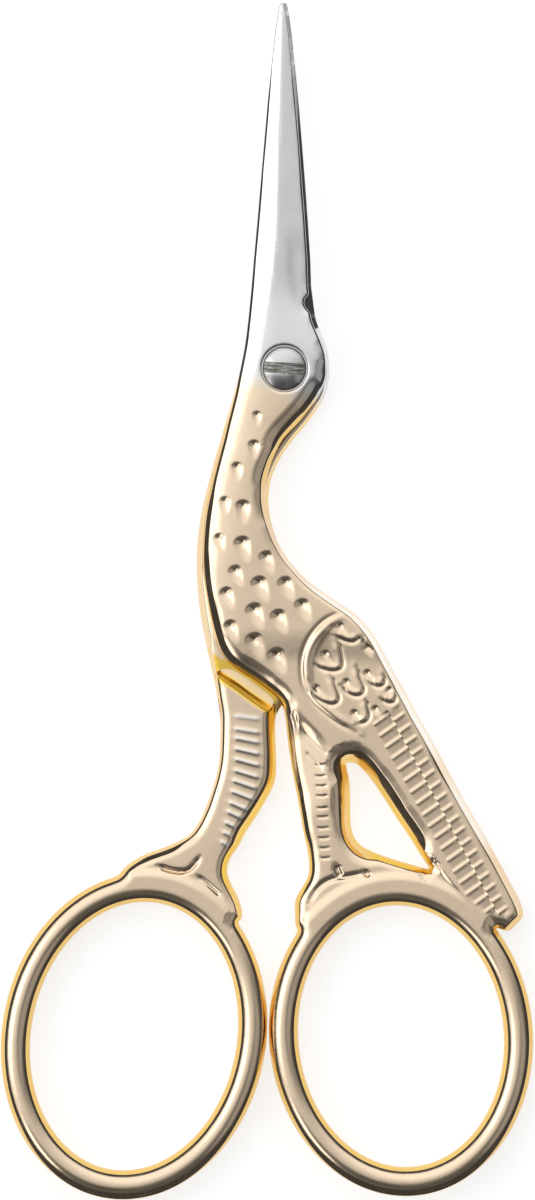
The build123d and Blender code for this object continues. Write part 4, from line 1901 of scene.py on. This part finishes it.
@dataclass(frozen=True)
class ScrewSteel:
    """Polished nickel-plated screw, with drag marks in its slot.

    To the eye its dome is a clean cool mirror, while the slot is scored by the screwdriver. The
    slot holds painted grey shade in streaks, and the line where the head's edge meets the half
    painted dark shade.
    """

    name: str = "polished_nickel_screw"
    bright: str = "#D2D3D2"
    # Painted shade in the slot and in the crease round the head's edge
    slot_painted_shade: str = "#77736A"
    edge_painted_shade: str = "#4C4A45"
    # The screwdriver's scratches are finer, and are drawn as coarse as they need to be to show
    drag_mm: float = 0.10
    drag_depth_mm: float = 0.06
    drag_turn_deg: float = 7.0
    dome_bump: float = 0.04
    slot_bump: float = 0.5
    bump_from_mm: float = 0.30
    bump_to_mm: float = 0.42
    slot_shade_from_mm: float = 0.26
    slot_shade_to_mm: float = 0.40
    ring_from_mm: float = 0.14
    ring_to_mm: float = 0.05
    ring_strength: float = 0.9
    smoothest: float = 0.10
    roughest: float = 0.26

    def paint_shade(self, tree: bpy.types.NodeTree, place: bpy.types.NodeSocket,
              height: bpy.types.NodeSocket, drag: bpy.types.NodeSocket) -> bpy.types.NodeSocket:
        """Paint shade into the slot in streaks, and into the crease round the head's edge.

        Args:
            tree: Node tree of the material.
            place: Object coordinates.
            height: Their height.
            drag: Pattern of the scratches.

        Returns:
            The colour.
        """
        # Painted shade in the slot, streaked along the drag marks
        slot = add_node(tree, "ShaderNodeMapRange",
                        {0: height, 1: (HEAD_CROWN - self.slot_shade_from_mm) * MM,
                         2: (HEAD_CROWN - self.slot_shade_to_mm) * MM, 3: 0.0, 4: 1.0})
        streak = add_node(tree, "ShaderNodeMapRange", {0: drag, 1: 0.42, 2: 0.62, 3: 1.0, 4: 0.25})
        dull = add_node(tree, "ShaderNodeMath", {0: slot.outputs[0], 1: streak.outputs[0]},
                        operation="MULTIPLY")
        # Painted shade in the crease where the head's edge meets the half
        flat = add_node(tree, "ShaderNodeVectorMath", {0: place, 1: (1.0, 1.0, 0.0)},
                        operation="MULTIPLY")
        reach = add_node(tree, "ShaderNodeVectorMath", {0: flat.outputs[0]}, operation="LENGTH")
        ring = add_node(tree, "ShaderNodeMapRange",
                        {0: reach.outputs["Value"], 1: (HEAD_RADIUS - self.ring_from_mm) * MM,
                         2: (HEAD_RADIUS - self.ring_to_mm) * MM, 3: 0.0, 4: self.ring_strength})
        mixed = linear(self.bright)
        for share, added in ((dull, self.slot_painted_shade), (ring, self.edge_painted_shade)):
            mixed = add_node(tree, "ShaderNodeMix",
                             {0: share.outputs[0], 6: mixed, 7: linear(added)},
                             data_type="RGBA").outputs[2]
        return mixed

    def build(self) -> bpy.types.Material:
        """Build the material.

        Returns:
            The material.
        """
        material, tree, output = new_material(self.name)
        place = add_node(tree, "ShaderNodeTexCoord").outputs["Object"]
        turn = add_node(tree, "ShaderNodeMapping",
                        {"Vector": place, "Scale": (0.12, 1.0, 0.4),
                         "Rotation": (0.0, 0.0, math.radians(self.drag_turn_deg))})
        drag = add_node(tree, "ShaderNodeTexNoise",
                        {"Vector": turn.outputs[0], "Scale": scale_of(self.drag_mm),
                         "Detail": 4.0}).outputs["Fac"]
        height = add_node(tree, "ShaderNodeSeparateXYZ", {0: place}).outputs["Z"]
        low = add_node(tree, "ShaderNodeMapRange",
                       {0: height, 1: (HEAD_CROWN - self.bump_from_mm) * MM,
                        2: (HEAD_CROWN - self.bump_to_mm) * MM,
                        3: self.dome_bump, 4: self.slot_bump})
        rough = add_node(tree, "ShaderNodeMapRange",
                         {0: drag, 1: 0.3, 2: 0.7, 3: self.smoothest, 4: self.roughest})
        bump = add_node(tree, "ShaderNodeBump",
                        {"Strength": low.outputs[0], "Distance": self.drag_depth_mm * MM,
                         "Height": drag})
        shader = add_node(tree, "ShaderNodeBsdfPrincipled",
                          {"Base Color": self.paint_shade(tree, place, height, drag), "Metallic": 1.0,
                           "Roughness": rough.outputs[0], "Normal": bump.outputs[0]})
        tree.links.new(shader.outputs[0], output.inputs[0])
        return material


@dataclass
class PivotScrew:
    """The slotted screw that is also the bird's eye."""

    slot_width: float = 0.84
    slot_depth: float = 0.48
    slot_turn_deg: float = -4.0
    slot_length: float = 5.0
    steps: int = 96
    dome_points: int = 12
    dome_power: float = 2.2
    dome_inset: float = 0.08
    chamfer: float = 0.15
    lip_width: float = 0.035
    lip_angle_deg: float = 38.0
    crisp_deg: float = 35.0

    def profile(self) -> list[tuple[float, float]]:
        """Draw the half section from the crown to the end.

        Returns:
            Radius and height of each point.
        """
        rise = HEAD_CROWN - HEAD_RIM_TOP
        width = HEAD_RADIUS - self.dome_inset
        dome = [(width * share, HEAD_CROWN - rise * share ** self.dome_power)
                for share in np.linspace(0.0, 1.0, self.dome_points)]
        rim = [(HEAD_RADIUS - 0.022, HEAD_RIM_TOP - 0.04), (HEAD_RADIUS, HEAD_RIM_TOP - 0.10)]
        shaft = [(HEAD_RADIUS, HEAD_LOW), (JOURNAL_RADIUS, HEAD_LOW),
                 (JOURNAL_RADIUS, HALF_THICKNESS), (THREAD_RADIUS, HALF_THICKNESS),
                 (THREAD_RADIUS, self.chamfer), (THREAD_RADIUS - self.chamfer, 0.0), (0.0, 0.0)]
        return dome + rim + shaft

    def build(self) -> bpy.types.Object:
        """Spin the section, cut the slot and soften the edges.

        Returns:
            The piece.
        """
        verts = [(radius * MM, 0.0, height * MM) for radius, height in self.profile()]
        mesh = bpy.data.meshes.new("pivot_screw_polished")
        mesh.from_pydata(verts, [(k, k + 1) for k in range(len(verts) - 1)], [])
        piece = bpy.data.objects.new("pivot_screw_polished", mesh)
        bpy.context.scene.collection.objects.link(piece)
        select_only(piece)
        bpy.ops.object.mode_set(mode="EDIT")
        bpy.ops.mesh.select_all(action="SELECT")
        bpy.ops.mesh.spin(steps=self.steps, angle=2 * math.pi, center=(0, 0, 0), axis=(0, 0, 1))
        bpy.ops.mesh.select_all(action="SELECT")
        bpy.ops.mesh.remove_doubles(threshold=0.0005 * MM)
        bpy.ops.mesh.normals_make_consistent(inside=False)
        bpy.ops.object.mode_set(mode="OBJECT")
        self.cut_slot(piece)
        return piece

    def cut_slot(self, piece: bpy.types.Object) -> None:
        """Cut the slot with a bar and round its lips.

        Args:
            piece: The spun screw.
        """
        bpy.ops.object.select_all(action="DESELECT")
        bpy.ops.mesh.primitive_cube_add(size=1.0)
        bar = bpy.context.active_object
        bar.scale = (self.slot_length * MM, self.slot_width * MM, 2 * self.slot_depth * MM)
        bar.rotation_euler = (0.0, 0.0, math.radians(self.slot_turn_deg))
        bar.location = (0.0, 0.0, HEAD_CROWN * MM)
        select_only(bar)
        bpy.ops.object.transform_apply(location=True, rotation=True, scale=True)
        cut = piece.modifiers.new("slot", "BOOLEAN")
        cut.operation = "DIFFERENCE"
        cut.solver = "EXACT"
        cut.object = bar
        select_only(piece)
        bpy.ops.object.modifier_apply(modifier=cut.name)
        bpy.data.objects.remove(bar)
        soften = piece.modifiers.new("lips", "BEVEL")
        soften.width = self.lip_width * MM
        soften.segments = 2
        soften.limit_method = "ANGLE"
        soften.angle_limit = math.radians(self.lip_angle_deg)
        bpy.ops.object.modifier_apply(modifier=soften.name)
        bpy.ops.object.shade_smooth_by_angle(angle=math.radians(self.crisp_deg))


@dataclass
class Scissors:
    """The two dressed halves and their screw."""

    plated: bpy.types.Material
    ground: bpy.types.Material
    screw: bpy.types.Material

    def dress(self, face: Face) -> None:
        """Build a face, give it its two finishes and hang it on its body.

        Args:
            face: Face to build.
        """
        piece = face.build()
        piece.data.materials.append(self.plated)
        piece.data.materials.append(self.ground)
        body, node = face.half.value, face.half.node
        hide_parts(node)
        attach(piece, body)
        LOG.info("%s: %d points, %d faces", piece.name, len(piece.data.vertices),
                 len(piece.data.polygons))

    def build_front(self) -> None:
        """Front half: the face with the blade, body and wing, and the back of the body."""
        rim = Rim(Outline(Half.FRONT, FRONT_BASE + CUT_INSET).build(), FRONT_STATIONS)
        self.dress(Face(Half.FRONT, Side.UP, rim, FRONT_BASE, BladeShape(back_on_left=True),
                        seat=True, hole_radius=BORE_RADIUS))
        rim = Rim(Outline(Half.FRONT, HALF_THICKNESS - CUT_INSET).build(), FRONT_STATIONS)
        self.dress(Face(Half.FRONT, Side.DOWN, rim, FRONT_BASE))

    def build_rear(self) -> None:
        """Rear half: the back with its blade and neck, and the face of the leg and bow."""
        rim = Rim(Outline(Half.REAR, HALF_THICKNESS - CUT_INSET).build(),
                  REAR_NECK_STATIONS + REAR_STATIONS)
        self.dress(Face(Half.REAR, Side.DOWN, rim, HALF_THICKNESS, BladeShape(back_on_left=False),
                        hole_radius=THREAD_RADIUS, corners=REAR_CORNERS))
        rim = Rim(Outline(Half.REAR, FRONT_BASE + CUT_INSET).build(), REAR_STATIONS)
        self.dress(Face(Half.REAR, Side.UP, rim, HALF_THICKNESS))

    def build_screw(self) -> None:
        """Pivot screw."""
        piece = PivotScrew().build()
        piece.data.materials.append(self.screw)
        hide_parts("pivot_screw")
        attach(piece, "rear")
        LOG.info("%s: %d faces", piece.name, len(piece.data.polygons))


@dataclass(frozen=True)
class Patch:
    """Soft round patch of the tent, as the cosines at its edge and where it is full."""

    way: tuple[float, float, float]
    edge: float
    full: float
    level: float

    def strength(self, tree: bpy.types.NodeTree,
                 unit: bpy.types.NodeSocket) -> bpy.types.NodeSocket:
        """Work out how strong the patch is.

        Args:
            tree: Node tree of the cloth.
            unit: Direction from the middle.

        Returns:
            Its strength.
        """
        length = math.sqrt(sum(v * v for v in self.way))
        near = add_node(tree, "ShaderNodeVectorMath",
                        {0: unit, 1: tuple(v / length for v in self.way)},
                        operation="DOT_PRODUCT")
        return add_node(tree, "ShaderNodeMapRange",
                        {0: near.outputs["Value"], 1: self.edge, 2: self.full,
                         3: 0.0, 4: self.level},
                        interpolation_type="SMOOTHSTEP").outputs[0]


@dataclass
class Studio:
    """White table, light tent and camera."""

    WINDOW = Patch((-0.72, 0.12, 0.68), 0.915, 0.98, 0.75)
    STRIP = Patch((-0.66, -0.56, 0.50), 0.972, 0.990, 1.0)
    SIDE = Patch((0.72, -0.28, 0.635), 0.91, 0.975, 0.23)
    SHADE = Patch((-0.30, -0.56, 0.77), 0.925, 0.972, 0.58)
    CLOTH_LEVELS = ((0.0, 0.05), (0.15, 0.06), (0.28, 0.11), (0.375, 0.28), (0.45, 0.55),
                    (0.5, 0.68), (0.56, 0.84), (0.64, 0.98), (0.75, 1.12), (0.95, 1.16))

    camera_height: float = 1.2
    focus_share: float = 0.8
    sensor: float = 24.0
    tent_radius: float = 1.6
    tent_low: float = 0.001
    tent_glow: float = 0.05
    horizon_dark: float = 0.25
    horizon_lit: float = 0.44
    bright_way: tuple[float, float, float] = (-0.55, 0.835, 0.0)
    floor_size: float = 6.0
    floor_drop: float = 0.00002
    floor_glow: float = 0.74
    floor_grey: tuple[float, float, float, float] = (0.48, 0.48, 0.48, 1.0)

    def build_camera(self) -> None:
        """Camera straight over the middle of the photograph."""
        data = bpy.data.cameras.new("camera")
        camera = bpy.data.objects.new("camera", data)
        x, y = at(PHOTO_WIDTH_PX / 2, PHOTO_HEIGHT_PX / 2)
        camera.location = (x * MM, y * MM, self.camera_height)
        data.sensor_fit = "VERTICAL"
        data.sensor_height = self.sensor
        seen = PHOTO_HEIGHT_PX * MM_PER_PX * MM
        distance = self.camera_height - TOTAL_THICKNESS * MM * self.focus_share
        data.lens = self.sensor * distance / seen
        data.clip_start = 0.01
        bpy.context.scene.collection.objects.link(camera)
        bpy.context.scene.camera = camera

    def build_floor(self) -> None:
        """White table top, lit by itself for the camera and for what mirrors it."""
        bpy.ops.mesh.primitive_plane_add(size=self.floor_size, location=(0, 0, -self.floor_drop))
        floor = bpy.context.active_object
        floor.name = "table_top"
        material, tree, output = new_material("white_table")
        path = add_node(tree, "ShaderNodeLightPath")
        seen = add_node(tree, "ShaderNodeMath",
                        {0: path.outputs["Is Camera Ray"], 1: path.outputs["Is Glossy Ray"]},
                        operation="ADD")
        seen = add_node(tree, "ShaderNodeMath",
                        {0: seen.outputs[0], 1: path.outputs["Is Transmission Ray"]},
                        operation="ADD", use_clamp=True)
        glow = add_node(tree, "ShaderNodeMath", {0: seen.outputs[0], 1: self.floor_glow},
                        operation="MULTIPLY")
        paper = add_node(tree, "ShaderNodeBsdfDiffuse", {"Color": self.floor_grey})
        light = add_node(tree, "ShaderNodeEmission", {"Color": WHITE, "Strength": glow.outputs[0]})
        both = add_node(tree, "ShaderNodeAddShader", {0: paper.outputs[0], 1: light.outputs[0]})
        tree.links.new(both.outputs[0], output.inputs[0])
        floor.data.materials.append(material)

    def build_tent(self) -> None:
        """Light tent: bright at the upper left, dim on the right, dark at the horizon."""
        bpy.ops.object.select_all(action="DESELECT")
        bpy.ops.mesh.primitive_uv_sphere_add(segments=64, ring_count=32, radius=self.tent_radius)
        tent = bpy.context.active_object
        tent.name = "light_tent"
        bpy.ops.object.mode_set(mode="EDIT")
        bpy.ops.mesh.select_all(action="SELECT")
        bpy.ops.mesh.bisect(plane_co=(0, 0, self.tent_low), plane_no=(0, 0, 1), clear_inner=True)
        bpy.ops.object.mode_set(mode="OBJECT")
        bpy.ops.object.shade_smooth()
        tent.visible_camera = False
        tent.data.materials.append(self.tent_cloth())

    def tent_cloth(self) -> bpy.types.Material:
        """Glowing cloth of the tent, with its patches.

        Returns:
            The material.
        """
        material, tree, output = new_material("tent_cloth")
        place = add_node(tree, "ShaderNodeTexCoord").outputs["Object"]
        unit = add_node(tree, "ShaderNodeVectorMath", {0: place},
                        operation="NORMALIZE").outputs[0]
        split = add_node(tree, "ShaderNodeSeparateXYZ", {0: unit})
        lift = add_node(tree, "ShaderNodeMapRange",
                        {0: split.outputs["Z"], 1: self.horizon_dark, 2: self.horizon_lit,
                         3: 0.0, 4: 1.0}, interpolation_type="SMOOTHSTEP")
        toward = add_node(tree, "ShaderNodeVectorMath", {0: unit, 1: self.bright_way},
                          operation="DOT_PRODUCT")
        share = add_node(tree, "ShaderNodeMath", {0: toward.outputs["Value"], 1: 0.5, 2: 0.5},
                         operation="MULTIPLY_ADD")
        cloth = add_node(tree, "ShaderNodeValToRGB", {0: share.outputs[0]})
        self.fill_ramp(cloth.color_ramp)
        shade = self.SHADE.strength(tree, unit)
        open_part = add_node(tree, "ShaderNodeMath", {0: 1.0, 1: shade}, operation="SUBTRACT")
        lit = add_node(tree, "ShaderNodeMath",
                       {0: cloth.outputs[0], 1: open_part.outputs[0],
                        2: self.WINDOW.strength(tree, unit)}, operation="MULTIPLY_ADD")
        for patch in (self.STRIP, self.SIDE):
            lit = add_node(tree, "ShaderNodeMath",
                           {0: lit.outputs[0], 1: patch.strength(tree, unit)}, operation="ADD")
        glow = add_node(tree, "ShaderNodeMath", {0: lift.outputs[0], 1: lit.outputs[0]},
                        operation="MULTIPLY")
        base = add_node(tree, "ShaderNodeMath", {0: glow.outputs[0], 1: self.tent_glow},
                        operation="ADD")
        light = add_node(tree, "ShaderNodeEmission", {"Color": WHITE, "Strength": base.outputs[0]})
        tree.links.new(light.outputs[0], output.inputs[0])
        return material

    def fill_ramp(self, ramp: bpy.types.ColorRamp) -> None:
        """Set the brightness of the cloth from its dim side to its bright side.

        Args:
            ramp: Ramp to fill.
        """
        while len(ramp.elements) < len(self.CLOTH_LEVELS):
            ramp.elements.new(0.5)
        for element, (place, level) in zip(ramp.elements, self.CLOTH_LEVELS):
            element.position = place
            element.color = (level, level, level, 1.0)
        ramp.interpolation = "LINEAR"

    def build_world(self) -> None:
        """Plain white world."""
        world = bpy.data.worlds.new("white_world")
        world.use_nodes = True
        bpy.context.scene.world = world
        background = world.node_tree.nodes["Background"]
        background.inputs["Color"].default_value = WHITE
        background.inputs["Strength"].default_value = 1.0

    def build(self) -> None:
        """Build the whole studio."""
        self.build_camera()
        self.build_floor()
        self.build_tent()
        self.build_world()
        bpy.context.scene.view_settings.view_transform = "Standard"


def main() -> None:
    """Build the scissors and the studio."""
    logging.basicConfig(level=logging.INFO, format="%(message)s")
    Studio().build()
    scissors = Scissors(PlatedSteel().build(), GroundSteel().build(), ScrewSteel().build())
    scissors.build_front()
    scissors.build_rear()
    scissors.build_screw()


if __name__ == "__main__":
    main()
